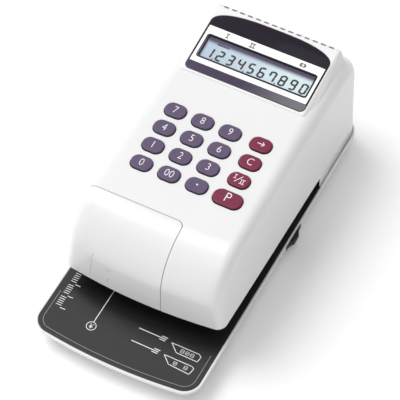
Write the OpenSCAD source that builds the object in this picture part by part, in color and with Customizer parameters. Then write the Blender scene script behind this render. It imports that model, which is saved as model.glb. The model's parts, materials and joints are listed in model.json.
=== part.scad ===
// Electronic desk check writer: a cantilevered head over a check table.
// Origin: middle of the footprint, on the surface that the feet stand on.
// +X is the operator's right, -Y is the front, +Z is up.

/* [Lower case] */
// Width of the lower case over its lip
case_w = 130; // [126:0.5:140]
// Front of the lower case, measured back from the origin
case_front = 140; // [136:0.5:150]
// Room between the battery bay and the rear edge of the lower case
rear_room = 10.25; // [9:0.25:18]
// Radius of the two front corners
front_corner_r = 14; // [8:0.5:20]
// Radius of the two rear corners
rear_corner_r = 18; // [14:0.5:24]
// Radius of the gentle bow of the front and rear edges
bow_r = 400; // [300:10:900]
// Height of the check table above the surface it stands on
table_z = 17; // [16:0.25:20]
// Width of the lip that frames the table
lip_w = 1.4; // [1:0.1:2.5]
// Height of the lip's outer wall
lip_h = 2.6; // [2:0.1:4]
// How far the undercut draws the floor in
undercut = 9; // [6:0.5:11]
// Wall of the moulded cases
wall = 2.4; // [1.8:0.1:3]
// Thickness of the check table plate
table_t = 2; // [1.5:0.1:2.5]
// Height of the rubber feet below the floor
foot_h = 3; // [2:0.25:4]
// Radius of a rubber foot
foot_r = 6.5; // [5:0.25:8]

/* [Head] */
// Step from the lip in to each side of the head
head_side = 2.2; // [1.8:0.1:4]
// How far each side of the head leans in up to the deck
head_lean = 3.5; // [2:0.1:5]
// Front of the head, measured back from the origin
head_front = 92.8; // [90:0.2:96]
// Height of the deck above the origin
deck_z = 92.9; // [90:0.1:98]
// Slope of the deck, rising to the rear
deck_tilt = 2.5; // [1.5:0.1:3.5]
// Radius of the rolled front
roll_r = 38; // [34:0.5:42]
// Radius of the rolled rear
rear_roll_r = 25; // [20:0.5:30]
// Rounding of the head's rear sides
head_rear_r = 12; // [9:0.5:12]
// Rounding of the deck's side edges
edge_r = 8; // [6:0.25:10]
// Height of the head's lower edge at the front
mouth_front_z = 33; // [30:0.25:36]
// Height of the head's lower edge where the throat ends
mouth_rear_z = 27; // [26:0.25:30]
// Where the throat ends
throat_rear = 68; // [66:0.5:72]
// Free height of the throat over the table
throat_h = 7; // [6:0.1:8]

/* [Display hood] */
// Where the hood starts on the deck
hood_front = 61.5; // [58:0.5:63]
// Rear of the hood
hood_rear = 124.5; // [122:0.5:126]
// Slope of the hood's top
hood_tilt = 8.6; // [7:0.1:10]
// Step of the hood's front edge over the deck
hood_step = 0.9; // [0.5:0.1:1.5]
// Deck left free on each side of the hood's top
hood_side = 8.8; // [8:0.1:10]
// How far each side of the hood leans in
hood_lean = 3; // [2:0.1:3.5]
// Rim of the hood left free on each side of the display panel
panel_side = 3; // [2:0.1:5]
// Length of the display window panel along the slope, at its middle
panel_l = 55.5; // [50:0.5:56]
// Rise of the panel's arched top edge
panel_arch = 12; // [8:0.5:16]
// Thickness of the display window panel
panel_t = 1.6; // [1.2:0.1:2.2]
// Number of vent slots
vent_count = 14; // [8:1:15]
// Distance from the hood's side to the middle of the last vent slot
vent_side = 8.25; // [7:0.25:10]
// Width of a vent slot
vent_w = 4; // [2:0.1:5]
// Length of a vent slot, front to back
vent_l = 2; // [1.5:0.1:4]
// Edge left behind the vent slots
vent_in = 1.2; // [0.8:0.1:2]

/* [Keys] */
// Pitch of the key columns
key_px = 21.7; // [20:0.1:22.5]
// Pitch of the key rows
key_py = 16.9; // [16:0.1:18]
// Middle of the first column
key_x0 = -34; // [-35:0.5:-33]
// Middle of the last column
key_x3 = 33.5; // [32:0.5:34.5]
// Middle of the row furthest back
key_y0 = 26.8; // [24:0.1:28]
// Width of a key
key_w = 15.8; // [14:0.1:17]
// Depth of a key
key_d = 11.8; // [11:0.1:14]
// Width of the print key
print_key_w = 21.6; // [18:0.1:23]
// Depth of the print key
print_key_d = 12.8; // [11:0.1:16]
// How far the print key sits in front of its row
print_key_drop = 0.6; // [0:0.1:1]
// Height of a key above the deck
key_up = 1.4; // [1.4:0.1:3]
// Travel of a key
key_travel = 1.3; // [1:0.1:1.5]
// Clearance round a key
key_gap = 0.4; // [0.3:0.05:0.6]

/* [Ink cover] */
// Right edge of the ink cover
cover_x = 16; // [12:0.5:20]
// Rear edge of the ink cover
cover_y = -55; // [-58:0.5:-53]
// Radius of the cover's inner corner
cover_corner_r = 5; // [3:0.5:8]
// Gap of the seam round the cover
seam = 0.4; // [0.3:0.05:0.6]
// Steepness of the line along which the cover lifts off
cover_lift = 40; // [30:1:50]
// Width of a cover tongue
tongue_w = 8; // [6:0.5:10]
// Clearance of a tongue in its catch
tongue_gap = 0.3; // [0.2:0.05:0.5]

/* [Print unit] */
// Middle of the type wheel, across
wheel_x = -26; // [-28:0.5:-24]
// Middle of the type wheel, front to back
wheel_y = -55; // [-57:0.5:-53]
// Radius over the wheel's characters
wheel_r = 13; // [12:0.25:13.5]
// Width of the type wheel
wheel_w = 7; // [5:0.5:7.5]
// Number of characters on the wheel
wheel_types = 12; // [8:1:16]
// Gap from the characters to the anvil at rest
print_gap = 1.2; // [1:0.1:1.5]
// Radius of the ink roller
ink_r = 7; // [6:0.25:7.5]
// Line of the arm's pivot, front to back
arm_y = -14; // [-16:0.5:-12]
// Height of the arm's pivot
arm_z = 46; // [44:0.5:48]
// Width of the arm's bars
arm_w = 7; // [6:0.5:8]
// Line of the cam shaft, front to back
cam_y = 16; // [14:0.5:18]
// Radius of the cam where it is lowest
cam_r = 6; // [5:0.25:6.5]
// Radius of the small shafts
shaft_r = 2; // [1.5:0.1:2.2]
// Radial running clearance of shafts and pins
run = 0.05; // [0.03:0.01:0.08]
// Backlash of the gear teeth at the pitch line
backlash = 0.16; // [0.1:0.02:0.24]
// Radius of the small motors
motor_r = 8.5; // [7:0.25:8.75]

/* [Feed unit] */
// Line of the feed shaft, across
feed_x = 30; // [28:0.5:31]
// Radius of the upper feed rollers
feed_r = 14.5; // [14:0.25:15]
// Width of the feed rollers
feed_w = 10; // [7:0.5:11]
// Radius of the feed shaft
feed_shaft_r = 2.5; // [2:0.1:2.8]
// Radius of the lower pinch rollers
pinch_r = 4; // [3.5:0.1:4.2]
// Clearance between rollers that face each other
nip = 0.3; // [0.25:0.05:0.4]
// Radius of the feed motor
feed_motor_r = 10; // [8:0.5:10.5]
// Thickness of the steel frame
frame_t = 1.6; // [1.2:0.1:1.8]

/* [Battery bay and switch] */
// Length of a cell
cell_l = 50.5; // [49:0.5:51]
// Radius of a cell
cell_r = 7.25; // [7:0.05:7.3]
// Clearance between the frame and the battery bay
bay_gap = 0.25; // [0.2:0.05:0.6]
// Travel of the battery door
door_travel = 6; // [4:0.5:6]
// Length of the power slider
knob_l = 24; // [20:0.2:28]
// Middle of the power slider
knob_y = 19.5; // [15:0.5:21]
// How far the slider stands past the lip
knob_out = 2.8; // [2:0.1:3.2]
// Travel of the power slider
knob_travel = 4; // [3:0.5:5]

/* [Hidden] */
eps = 0.01;
head_w = case_w - 2 * head_side;
deck_w = head_w - 2 * head_lean;
hood_w = deck_w - 2 * hood_side;
hood_foot_w = hood_w + 2 * hood_lean;
panel_w = hood_w - 2 * panel_side;
vent_pitch = (hood_w - 2 * vent_side) / (vent_count - 1);
web_y = throat_rear + wall + 0.2;
bay_front = web_y + frame_t + bay_gap;
bay_l = cell_l + 3;
cell_y = bay_front + wall + bay_l / 2;
case_rear = bay_front + bay_l + 2 * wall + rear_room;
floor_z = foot_h;
floor_t = 2.2;
floor_top = floor_z + floor_t;
ledge = 2;
plate_gap = 0.15;
lip_low = table_z - lip_h;
table_low = table_z - table_t;

// Deck and hood planes
function deck(y) = deck_z + y * tan(deck_tilt);
hood_low = deck(hood_front) + hood_step;
function hood(y) = hood_low + (y - hood_front) * tan(hood_tilt);

// Colours
white = "whitesmoke";
black = "#242426";
steel = "silver";
brass = "goldenrod";
rubber = "#2a2a2a";
board_green = "#2f6b45";
key_grey = "#6e6580";
key_red = "#8c1f4a";

// ---------- Outlines ----------
function arc(cx, cy, r, a0, a1, n) =
  [for (i = [0:n]) let (a = a0 + (a1 - a0) * i / n) [cx + r * cos(a), cy + r * sin(a)]];

// Outline with bowed ends, drawn in by inset on all sides, as a list of points
function bowed(w, front, rear, rf, rr, inset) =
  let (
    h = w / 2 - inset,
    f = max(rf - inset, 1),
    b = max(rr - inset, 1),
    xf = h - f,
    xb = h - b,
    af = asin(xf / bow_r),
    ab = asin(xb / bow_r),
    yf = -front + inset + xf * xf / (2 * bow_r),
    yb = rear - inset - xb * xb / (2 * bow_r)
  )
  concat(
    arc(xf, yf + f, f, af - 90, 0, 6),
    arc(xb, yb - b, b, 0, 90 - ab, 6),
    [for (x = [2:-1:-2]) let (p = x * xb / 3) [p, rear - inset - p * p / (2 * bow_r)]],
    arc(-xb, yb - b, b, 90 + ab, 180, 6),
    arc(-xf, yf + f, f, 180, 270 - af, 6),
    [for (x = [-2:2]) let (p = x * xf / 3) [p, -front + inset + p * p / (2 * bow_r)]]
  );

module case_outline(inset) {
  polygon(bowed(case_w, case_front, case_rear, front_corner_r, rear_corner_r, inset));
}

head_corner_r = 7;
head_foot = case_rear - lip_w - plate_gap;
module head_outline(inset) {
  polygon(bowed(head_w, head_front, head_foot, head_corner_r, rear_corner_r - lip_w, inset));
}

module slab(z0, z1) {
  translate([0, 0, z0]) linear_extrude(z1 - z0) children();
}

// Rectangle with round corners, of true arcs
module rounded(w, d, r) {
  square([w - 2 * r, d], center = true);
  square([w, d - 2 * r], center = true);
  for (x = [-1, 1], y = [-1, 1])
    translate([x * (w / 2 - r), y * (d / 2 - r)]) circle(r, $fn = 32);
}

// Bar of width w from p to q, drawn in the side view
module link(p, q, w) {
  d = q - p;
  translate(p) rotate(atan2(d[1], d[0])) translate([0, -w / 2]) square([norm(d), w]);
}

// Round end of a bar
module eye(p, w) {
  translate(p) circle(w / 2, $fn = 32);
}

// Upright plate drawn in the side view: first coordinate front to back, second one height
module side_plate(x, t) {
  translate([x, 0, 0]) rotate([90, 0, 90]) linear_extrude(t, center = true) children();
}

// Cylinder along X between two places
module rod_x(r, x0, x1, y, z) {
  translate([x0, y, z]) rotate([0, 90, 0]) cylinder(r = r, h = x1 - x0, $fn = 48);
}

// Cylinder along Y between two places
module rod_y(r, y0, y1, x, z) {
  translate([x, y0, z]) rotate([-90, 0, 0]) cylinder(r = r, h = y1 - y0, $fn = 48);
}

module box(lo, hi) {
  translate(lo) cube(hi - lo);
}

// ---------- Gears ----------
function inv_point(rb, t) = rb * [cos(t) + t * PI / 180 * sin(t), sin(t) - t * PI / 180 * cos(t)];
function turned(p, a) = [p[0] * cos(a) - p[1] * sin(a), p[0] * sin(a) + p[1] * cos(a)];

// One flank of an involute tooth, from the base circle to the tip
function flank(teeth, m, steps = 4) =
  let (
    rp = teeth * m / 2,
    rb = rp * cos(20),
    ra = rp + m * 0.9,
    tip = sqrt((ra / rb) * (ra / rb) - 1) * 180 / PI,
    pitch = sqrt((rp / rb) * (rp / rb) - 1) * 180 / PI,
    p = inv_point(rb, pitch),
    half = 90 / teeth - backlash / 4 / rp * 180 / PI,
    shift = -half - atan2(p[1], p[0])
  )
  [for (i = [0:steps]) turned(inv_point(rb, tip * i / steps), shift)];

// Spur gear round Z, a tooth on +X
module gear(teeth, m, h, bore) {
  root_r = teeth * m / 2 - 1.2 * m;
  face = flank(teeth, m);
  root = turned([root_r, 0], atan2(face[0][1], face[0][0]));
  side = concat([root], face);
  other = [for (i = [len(side) - 1:-1:0]) [side[i][0], -side[i][1]]];
  tooth = concat(side, other);
  points = [for (k = [0:teeth - 1], p = tooth) turned(p, 360 * k / teeth)];
  difference() {
    linear_extrude(h, center = true) polygon(points);
    cylinder(r = bore, h = h + 1, center = true, $fn = 48);
  }
}

// Gear with its axis along X; the angle turns from +Y to +Z
module gear_x(x, y, z, angle) {
  translate([x, y, z]) rotate([90, 0, 90]) rotate([0, 0, angle]) children();
}

// Gear with its axis along Y; the angle turns from +X to +Z
module gear_y(x, y, z, angle) {
  translate([x, y, z]) rotate([90, 0, 0]) rotate([0, 0, angle]) children();
}

// ---------- Lower case ----------
module case_block(inset, z0) {
  hull() {
    slab(lip_low - eps, lip_low) case_outline(inset);
    slab(z0, z0 + eps) case_outline(inset + undercut);
  }
}

boss_x = case_w / 2 - 15;
boss_ys = [78, 118];
boss_r = 4;
screw_r = 1.5;
screw_head_r = 3;
screw_head_z = floor_z + 4;
module at_bosses() {
  for (x = [-boss_x, boss_x], y = boss_ys)
    translate([x, y, 0]) children();
}

foot_x = case_w / 2 - 21;
foot_ys = [-112, 98];
foot_seat = 1;
module at_feet() {
  for (x = [-foot_x, foot_x], y = foot_ys)
    translate([x, y, 0]) children();
}

post_x = case_w / 2 - 25;
post_ys = [-100, -5, 50];
post_r = 3;
module at_posts() {
  for (x = [-post_x, post_x], y = post_ys)
    translate([x, y, 0]) children();
}

cell_pitch = 2 * cell_r + 0.3;
bay_w = 4 * cell_pitch + 3;
cell_z = floor_z + 2.4 + cell_r;
bay_top = cell_z + cell_r + 0.8;
bay_roof = bay_top + floor_t;
door_w = bay_w + 3;
door_l = bay_l + 2;
door_t = 0.6;
door_gap = 0.1;
door_edge = 1;

// Groove in which the battery door slides
module door_space() {
  g = 2 * door_gap;
  lo_y = cell_y - door_l / 2 - door_travel - g;
  hi_y = cell_y + door_l / 2 + g;
  w = door_w / 2 + g;
  box([-w, lo_y, floor_z - 1], [w, hi_y, floor_z + door_t]);
  box([-w - door_edge, lo_y, floor_z + door_t - eps], [w + door_edge, hi_y, floor_z + 2 * door_t + g]);
}

neck_w = 8;
neck_low = 12;
neck_high = 14.2;
neck_gap = 0.3;
neck_in = case_w / 2 - 15;

// Way that the slider's neck takes through the wall and into the switch
module neck_space() {
  box([neck_in - 1, knob_y - neck_w / 2 - neck_gap, neck_low - neck_gap],
      [case_w / 2 + 1, knob_y + neck_w / 2 + knob_travel + neck_gap, neck_high + neck_gap]);
}

board_xs = [-28, 4];
board_ys = [82, 116];
board_z = bay_roof + 7;
standoff_r = 2.5;

module lower_case() {
  color(white) difference() {
    union() {
      difference() {
        union() {
          case_block(0, floor_z);
          slab(lip_low - eps, table_z) case_outline(0);
        }
        case_block(lip_w + ledge, floor_top);
        slab(lip_low - 2 * eps, table_low) case_outline(lip_w + ledge);
        slab(table_low, table_z + 1) case_outline(lip_w);
      }
      at_bosses() translate([0, 0, floor_z + 1]) cylinder(r = boss_r, h = table_low - floor_z - 1, $fn = 32);
      at_posts() translate([0, 0, floor_z + 1]) cylinder(r = post_r, h = table_low - floor_z - 1, $fn = 32);
      box([-bay_w / 2 - wall, cell_y - bay_l / 2 - wall, floor_z + 1],
          [bay_w / 2 + wall, cell_y + bay_l / 2 + wall, bay_roof]);
      for (x = board_xs, y = board_ys)
        translate([x, y, bay_roof - 1]) cylinder(r = standoff_r, h = board_z - bay_roof + 1, $fn = 32);
    }
    box([-bay_w / 2, cell_y - bay_l / 2, floor_z - 1], [bay_w / 2, cell_y + bay_l / 2, bay_top]);
    door_space();
    at_bosses() {
      translate([0, 0, -1]) cylinder(r = screw_r + 0.2, h = table_z + 1, $fn = 32);
      translate([0, 0, -1]) cylinder(r = screw_head_r + 0.3, h = screw_head_z + 1, $fn = 32);
    }
    at_feet() translate([0, 0, floor_z - 1]) cylinder(r = foot_r + 0.1, h = 1 + foot_seat, $fn = 48);
    neck_space();
  }
}

module rubber_feet() {
  color(rubber) at_feet() cylinder(r = foot_r, h = floor_z + foot_seat, $fn = 48);
}

module battery_cells() {
  color("steelblue")
    for (i = [0:3]) {
      x = (i - 1.5) * cell_pitch;
      rod_y(cell_r, cell_y - cell_l / 2, cell_y + cell_l / 2 - 1.5, x, cell_z);
      rod_y(2.75, cell_y - cell_l / 2 + 1, cell_y + cell_l / 2, x, cell_z);
    }
}

module battery_door() {
  lo_y = cell_y - door_l / 2;
  hi_y = cell_y + door_l / 2;
  low = floor_z + door_gap;
  color(white) difference() {
    union() {
      box([-door_w / 2, lo_y, low], [door_w / 2, hi_y, low + door_t + eps]);
      box([-door_w / 2 - door_edge, lo_y, low + door_t], [door_w / 2 + door_edge, hi_y, low + 2 * door_t]);
    }
    // Grip grooves
    for (i = [0:4])
      box([-9, lo_y + 5 + 2 * i, low - 1], [9, lo_y + 6 + 2 * i, low + 0.35]);
  }
}

// ---------- Check table ----------
window_gap = 1;
anvil_w = 14;
anvil_top = table_z + 0.2;
ear_t = 1.6;
ear_gap = 0.3;
feed_ys = [-25, 15];
plate_rear = throat_rear - plate_gap;

module table_plate() {
  color(black) difference() {
    intersection() {
      slab(table_low, table_z) case_outline(lip_w + plate_gap);
      box([-case_w, -case_front, 0], [case_w, plate_rear, table_z + 1]);
    }
    translate([wheel_x, wheel_y, table_z]) cube([anvil_w + 2 * window_gap, anvil_w + 2 * window_gap, 10], center = true);
    for (y = feed_ys)
      translate([feed_x, y, table_z])
        cube([2 * pinch_r + 2 * window_gap, feed_w + 2 * ear_t + 2 * ear_gap + 2 * window_gap, 10], center = true);
    // Fine groove that frames the front of the table
    slab(table_z - 0.3, table_z + 1) difference() {
      case_outline(lip_w + 3.6);
      case_outline(lip_w + 4.1);
      translate([-case_w, -case_front + 20]) square([2 * case_w, 2 * case_front]);
    }
  }
}

// ---------- Head ----------
head_low = table_low;
roll_y = -(head_front - roll_r - 0.8);
roll_z = deck(roll_y) - roll_r;
side_x = deck_w / 2 - edge_r;
rear_x = deck_w / 2 - head_rear_r;
rear_y = case_rear - rear_roll_r;
rear_z = deck(rear_y) - rear_roll_r;
function bow_at(x) = x * x / (2 * bow_r);

// Ring round X, of the given radii
module ring(x, y, z, major, minor) {
  translate([x, y, z]) rotate([0, 90, 0])
    rotate_extrude($fn = 32) translate([major, 0]) circle(minor, $fn = 20);
}

module head_solid(inset, low) {
  hull() {
    slab(low, mouth_rear_z + 3) head_outline(inset);
    for (x = [-1, 1]) {
      ring(x * side_x, roll_y + bow_at(side_x), roll_z, roll_r - edge_r, edge_r - inset);
      ring(x * rear_x, rear_y - bow_at(rear_x), rear_z, rear_roll_r - head_rear_r, head_rear_r - inset);
    }
    for (x = [-0.5, 0, 0.5]) {
      translate([x * side_x, roll_y + bow_at(x * side_x), roll_z]) rotate([0, 90, 0])
        cylinder(r = roll_r - inset, h = 1, center = true, $fn = 32);
      translate([x * rear_x, rear_y - bow_at(x * rear_x), rear_z]) rotate([0, 90, 0])
        cylinder(r = rear_roll_r - inset, h = 1, center = true, $fn = 32);
    }
  }
}

hood_edge_r = 3;
hood_wall = 2.2;
hood_sink = 3;
module hood_solid(inset) {
  top = hood_w / 2 - hood_edge_r;
  front = hood_front + hood_edge_r;
  rear = hood_rear - hood_edge_r;
  foot = hood_foot_w / 2 - 1 - inset;
  sink = hood_sink + 2 * inset;
  hull() {
    for (x = [-1, 1]) {
      translate([x * top, rear, hood(rear) - hood_edge_r]) sphere(hood_edge_r - inset, $fn = 24);
      translate([x * top, front, hood(front) - hood_edge_r]) sphere(hood_edge_r - inset, $fn = 24);
      translate([x * foot, rear, deck(rear) - sink]) cylinder(r = 1, h = eps);
      translate([x * foot, front - 1 + inset, deck(front) - sink]) cylinder(r = 1, h = eps);
    }
  }
}

// Region under the head's lower edge, in front of the throat's end
mouth_slope = (mouth_front_z - mouth_rear_z) / (head_front + throat_rear);
function mouth(y) = mouth_rear_z + (throat_rear - y) * mouth_slope;
module below_mouth() {
  side_plate(0, 2 * case_w)
    polygon([
      [-case_front, -1], [-case_front, mouth(-case_front)], [throat_rear, mouth_rear_z],
      [throat_rear, head_low], [case_rear + 5, head_low], [case_rear + 5, -1]
    ]);
}

// Everything on the deck stands square to it: x across, y up the deck, z out of it
module on_deck(x, y) {
  translate([x, y, deck(y)]) rotate([deck_tilt, 0, 0]) children();
}

// Frame of the hood's top: origin at the middle of the panel's lower edge
panel_front = hood_front + 3;
module on_hood() {
  translate([0, panel_front, hood(panel_front)]) rotate([hood_tilt, 0, 0]) children();
}

KEYS = [
  ["key_7", 0, 0], ["key_8", 1, 0], ["key_9", 2, 0], ["key_arrow", 3, 0],
  ["key_4", 0, 1], ["key_5", 1, 1], ["key_6", 2, 1], ["key_clear", 3, 1],
  ["key_1", 0, 2], ["key_2", 1, 2], ["key_3", 2, 2], ["key_mode", 3, 2],
  ["key_0", 0, 3], ["key_00", 1, 3], ["key_point", 2, 3], ["key_print", 3, 3]
];
function key_x(k) = k[1] == 3 ? key_x3 : key_x0 + k[1] * key_px;
function key_y(k) = key_y0 - k[2] * key_py - (k[0] == "key_print" ? print_key_drop : 0);
function key_size(k) = k[0] == "key_print" ? [print_key_w, print_key_d] : [key_w, key_d];
module at_key(k) {
  on_deck(key_x(k), key_y(k)) children();
}
module key_face(k, grow) {
  size = key_size(k);
  rounded(size[0] + 2 * grow, size[1] + 2 * grow, size[1] * 0.44 + grow);
}

// Levels under the deck, square to it
flange_top = -wall - 0.2;
flange_t = 1.2;
plunger_low = flange_top - flange_t - 3.6;
keypad_z = plunger_low - key_travel - 0.2;
keypad_t = 1.6;
mat_t = 1;
post_hole_r = 1.2;
board_w = deck_w - 12.6;
board_l = 80;
deck_post_x = board_w / 2 - 3;
deck_post_y = board_l / 2 - 3;
module at_deck_posts() {
  for (x = [-deck_post_x, deck_post_x], y = [-deck_post_y, deck_post_y])
    on_deck(x, y) children();
}

// Panel outline: straight foot with round corners, arched top
panel_corner_r = 4;
function panel_points(grow) =
  let (
    h = panel_w / 2 + grow,
    r = panel_corner_r + grow,
    top = panel_l + grow,
    side = panel_l - panel_arch,
    n = 8
  )
  concat(
    arc(h - r, -grow + r, r, -90, 0, 4),
    [for (i = [0:n]) let (a = 90 * i / n) [h * pow(cos(a), 0.7), side + (top - side) * pow(sin(a), 0.9)]],
    [for (i = [n - 1:-1:0]) let (a = 90 * i / n) [-h * pow(cos(a), 0.7), side + (top - side) * pow(sin(a), 0.9)]],
    arc(-h + r, -grow + r, r, 180, 270, 4)
  );

panel_gap = 0.15;
shelf_t = 2;
window_w = panel_w - 11;
window_d = 29;
window_v = 25;
module window_hole() {
  on_hood() translate([0, window_v, 0]) cube([window_w, window_d, 20], center = true);
}

// Space that the ink cover takes out of the head
module cover_space(grow) {
  r = cover_corner_r;
  x = cover_x + grow;
  y = cover_y + grow;
  slab(mouth_rear_z - 5, deck_z + 20) difference() {
    translate([-case_w, -case_front]) square([case_w + x, case_front + y]);
    difference() {
      translate([x - r, y - r]) square([r + 1, r + 1]);
      translate([x - r, y - r]) circle(r, $fn = 48);
    }
  }
}

// Tongues along the line on which the cover lifts off
tongue_t = 1.6;
tongue_drop = 5;
tongue_xs = [-42, 4];
module tongues(grow, ahead, behind) {
  for (x = tongue_xs)
    translate([x, cover_y, deck(cover_y) - tongue_drop]) rotate([-cover_lift, 0, 0])
      box([-tongue_w / 2 - grow, -ahead, -tongue_t / 2 - grow], [tongue_w / 2 + grow, behind, tongue_t / 2 + grow]);
}

jack_r = 5;
jack_wall = 1;
jack_gap = 0.3;
jack_x = -post_x;
jack_z = bay_roof + jack_gap + jack_r + jack_wall;
bush_r = 4.5;
feed_z = table_z + nip + feed_r;
rib_side_x = head_w / 2 - 11.8;
upper_z = 26.2;

module upper_housing() {
  color(white) difference() {
    union() {
      difference() {
        union() {
          head_solid(0, head_low);
          hood_solid(0);
        }
        difference() {
          union() {
            head_solid(wall, head_low - 1);
            hood_solid(hood_wall);
          }
          // Shelf that carries the display panel
          intersection() {
            on_hood() translate([0, 0, -panel_t - shelf_t]) linear_extrude(20) polygon(panel_points(2));
            hood_solid(0);
          }
        }
        below_mouth();
      }
      intersection() {
        union() {
          // Rib that closes the rear of the throat
          box([-case_w, throat_rear, head_low], [case_w, throat_rear + wall, upper_z - 0.3]);
          for (x = [-case_w, rib_side_x])
            box([x, throat_rear, head_low], [x + case_w - rib_side_x, throat_rear + wall, mouth_rear_z + 12]);
          at_deck_posts() translate([0, 0, keypad_z]) cylinder(r = post_r, h = -keypad_z, $fn = 32);
          at_bosses() translate([0, 0, table_low]) cylinder(r = boss_r, h = 90, $fn = 32);
          // Catches of the cover's tongues
          for (x = tongue_xs)
            box([x - tongue_w / 2 - 2, cover_y, deck(cover_y) - 11], [x + tongue_w / 2 + 2, cover_y + 7, deck_z]);
        }
        head_solid(0.5, head_low);
      }
    }
    for (k = KEYS)
      at_key(k) translate([0, 0, -wall - 1]) linear_extrude(12) key_face(k, key_gap);
    on_hood() translate([0, 0, -panel_t]) linear_extrude(20) polygon(panel_points(panel_gap));
    window_hole();
    for (i = [0:vent_count - 1]) {
      x = (i - (vent_count - 1) / 2) * vent_pitch;
      box([x - vent_w / 2, hood_rear - vent_in - vent_l, hood(hood_rear) - 5],
          [x + vent_w / 2, hood_rear - vent_in, hood(hood_rear) + 2]);
    }
    cover_space(seam);
    tongues(tongue_gap, 10, 12);
    at_bosses() translate([0, 0, table_low - 1]) cylinder(r = screw_r + eps, h = 18, $fn = 32);
    at_deck_posts() translate([0, 0, keypad_z - 1]) cylinder(r = post_hole_r + eps, h = 6, $fn = 24);
    rod_y(jack_r + 0.3, case_rear - 10, case_rear + 2, jack_x, jack_z);
  }
}

module ink_cover() {
  color(white) union() {
    intersection() {
      difference() {
        head_solid(0, head_low);
        head_solid(wall, head_low - 1);
        below_mouth();
      }
      cover_space(0);
    }
    tongues(0, 5.2, 8);
  }
}

// ---------- Display ----------
module display_panel() {
  color("#2b1c33") on_hood() translate([0, 0, -panel_t]) linear_extrude(panel_t) polygon(panel_points(0));
}

lcd_gap = 0.3;
module lcd_module() {
  on_hood() translate([0, window_v, -panel_t - shelf_t]) {
    color("#b9cfc4") translate([0, 0, shelf_t / 2 - 0.2])
      cube([window_w - 2 * lcd_gap, window_d - 2 * lcd_gap, shelf_t + 0.2], center = true);
    color("#55555c") translate([0, 0, -1.6]) cube([window_w + 5, window_d + 5, 3], center = true);
    color(board_green) translate([0, 0, -3.8]) cube([window_w + 7, window_d + 9, 1.6], center = true);
    color(black) for (x = [-25, 5, 28]) translate([x, 0, -5.3]) cube([12, 9, 1.6], center = true);
  }
}

// ---------- Keypad ----------
module key(k) {
  tint = k[1] == 3 ? key_red : key_grey;
  color(tint) at_key(k) {
    translate([0, 0, flange_top - eps]) linear_extrude(key_up - flange_top + eps) key_face(k, 0);
    translate([0, 0, flange_top - flange_t]) linear_extrude(flange_t) key_face(k, key_gap + 0.8);
    translate([0, 0, plunger_low]) cylinder(r = 2.5, h = flange_top - plunger_low - flange_t / 2, $fn = 32);
  }
}

module keypad_board() {
  color(board_green) difference() {
    on_deck(0, 0) translate([0, 0, keypad_z - keypad_t / 2]) cube([board_w, board_l, keypad_t], center = true);
    at_deck_posts() translate([0, 0, keypad_z - 5]) cylinder(r = post_hole_r + 0.1, h = 10, $fn = 24);
  }
}

dome_r = 5;
dome_h = 2.6;
module key_mat() {
  color("#8f8c86") difference() {
    union() {
      on_deck(0, 0) translate([0, 0, keypad_z + mat_t / 2]) cube([board_w - 14, board_l - 12, mat_t], center = true);
      for (k = KEYS) at_key(k) translate([0, 0, keypad_z]) cylinder(r = dome_r, h = dome_h, $fn = 32);
    }
    for (k = KEYS) at_key(k) translate([0, 0, keypad_z - 1]) cylinder(r = 3, h = dome_h + 2, $fn = 32);
  }
}

module main_board() {
  lo_x = board_xs[0] - 14;
  hi_x = board_xs[1] + 5;
  color(board_green) box([lo_x, board_ys[0] - 4, board_z], [hi_x, board_ys[1] + 4, board_z + 1.6]);
  color(black) box([-30, 92, board_z + 1.6 - eps], [-16, 106, board_z + 4]);
  color(black) box([-8, 96, board_z + 1.6 - eps], [2, 104, board_z + 3.6]);
  color("gray") for (y = [86, 112]) translate([-34, y, board_z + 1.6 - eps]) cylinder(r = 4, h = 11, $fn = 32);
  color("ivory") box([-20, 112, board_z + 1.6 - eps], [0, 117, board_z + 7]);
}

module screws() {
  color(steel) {
    at_bosses() {
      translate([0, 0, screw_head_z - 2.4]) cylinder(r = screw_head_r, h = 2.4, $fn = 32);
      translate([0, 0, screw_head_z - eps]) cylinder(r = screw_r, h = 24, $fn = 32);
    }
    at_deck_posts() {
      translate([0, 0, keypad_z - keypad_t - 1.4]) cylinder(r = 2.4, h = 1.4, $fn = 32);
      translate([0, 0, keypad_z - keypad_t - eps]) cylinder(r = post_hole_r, h = 6, $fn = 24);
    }
  }
}

// ---------- Throat guide ----------
guide_t = 1.6;
guide_z = table_z + throat_h;
guide_flare = 9.3;
guide_gap = 0.3;
module guide_block(t, rise) {
  tilt = -atan(mouth_slope);
  hull() {
    slab(guide_z + t, guide_z + t + eps) head_outline(wall + guide_gap + guide_flare + t);
    translate([0, 0, mouth(0) + 0.5 + t]) rotate([tilt, 0, 0]) linear_extrude(rise)
      head_outline(wall + guide_gap + t);
  }
}

module throat_guide() {
  color(black) difference() {
    intersection() {
      guide_block(0, 3);
      head_solid(wall + guide_gap, 0);
      box([-case_w, -case_front, 0], [case_w, plate_rear - plate_gap, table_z + 40]);
    }
    intersection() {
      guide_block(guide_t, 12);
      head_solid(wall + guide_gap + guide_t, 0);
    }
    box([wheel_x - 5, wheel_y - wheel_r - 1.5, 0], [wheel_x + 8.5, wheel_y + wheel_r + 1.5, 60]);
    for (y = feed_ys)
      box([feed_x - 13.5, y - feed_w / 2 - 1, 0], [feed_x + 13.5, y + feed_w / 2 + 1, 60]);
  }
}

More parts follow.
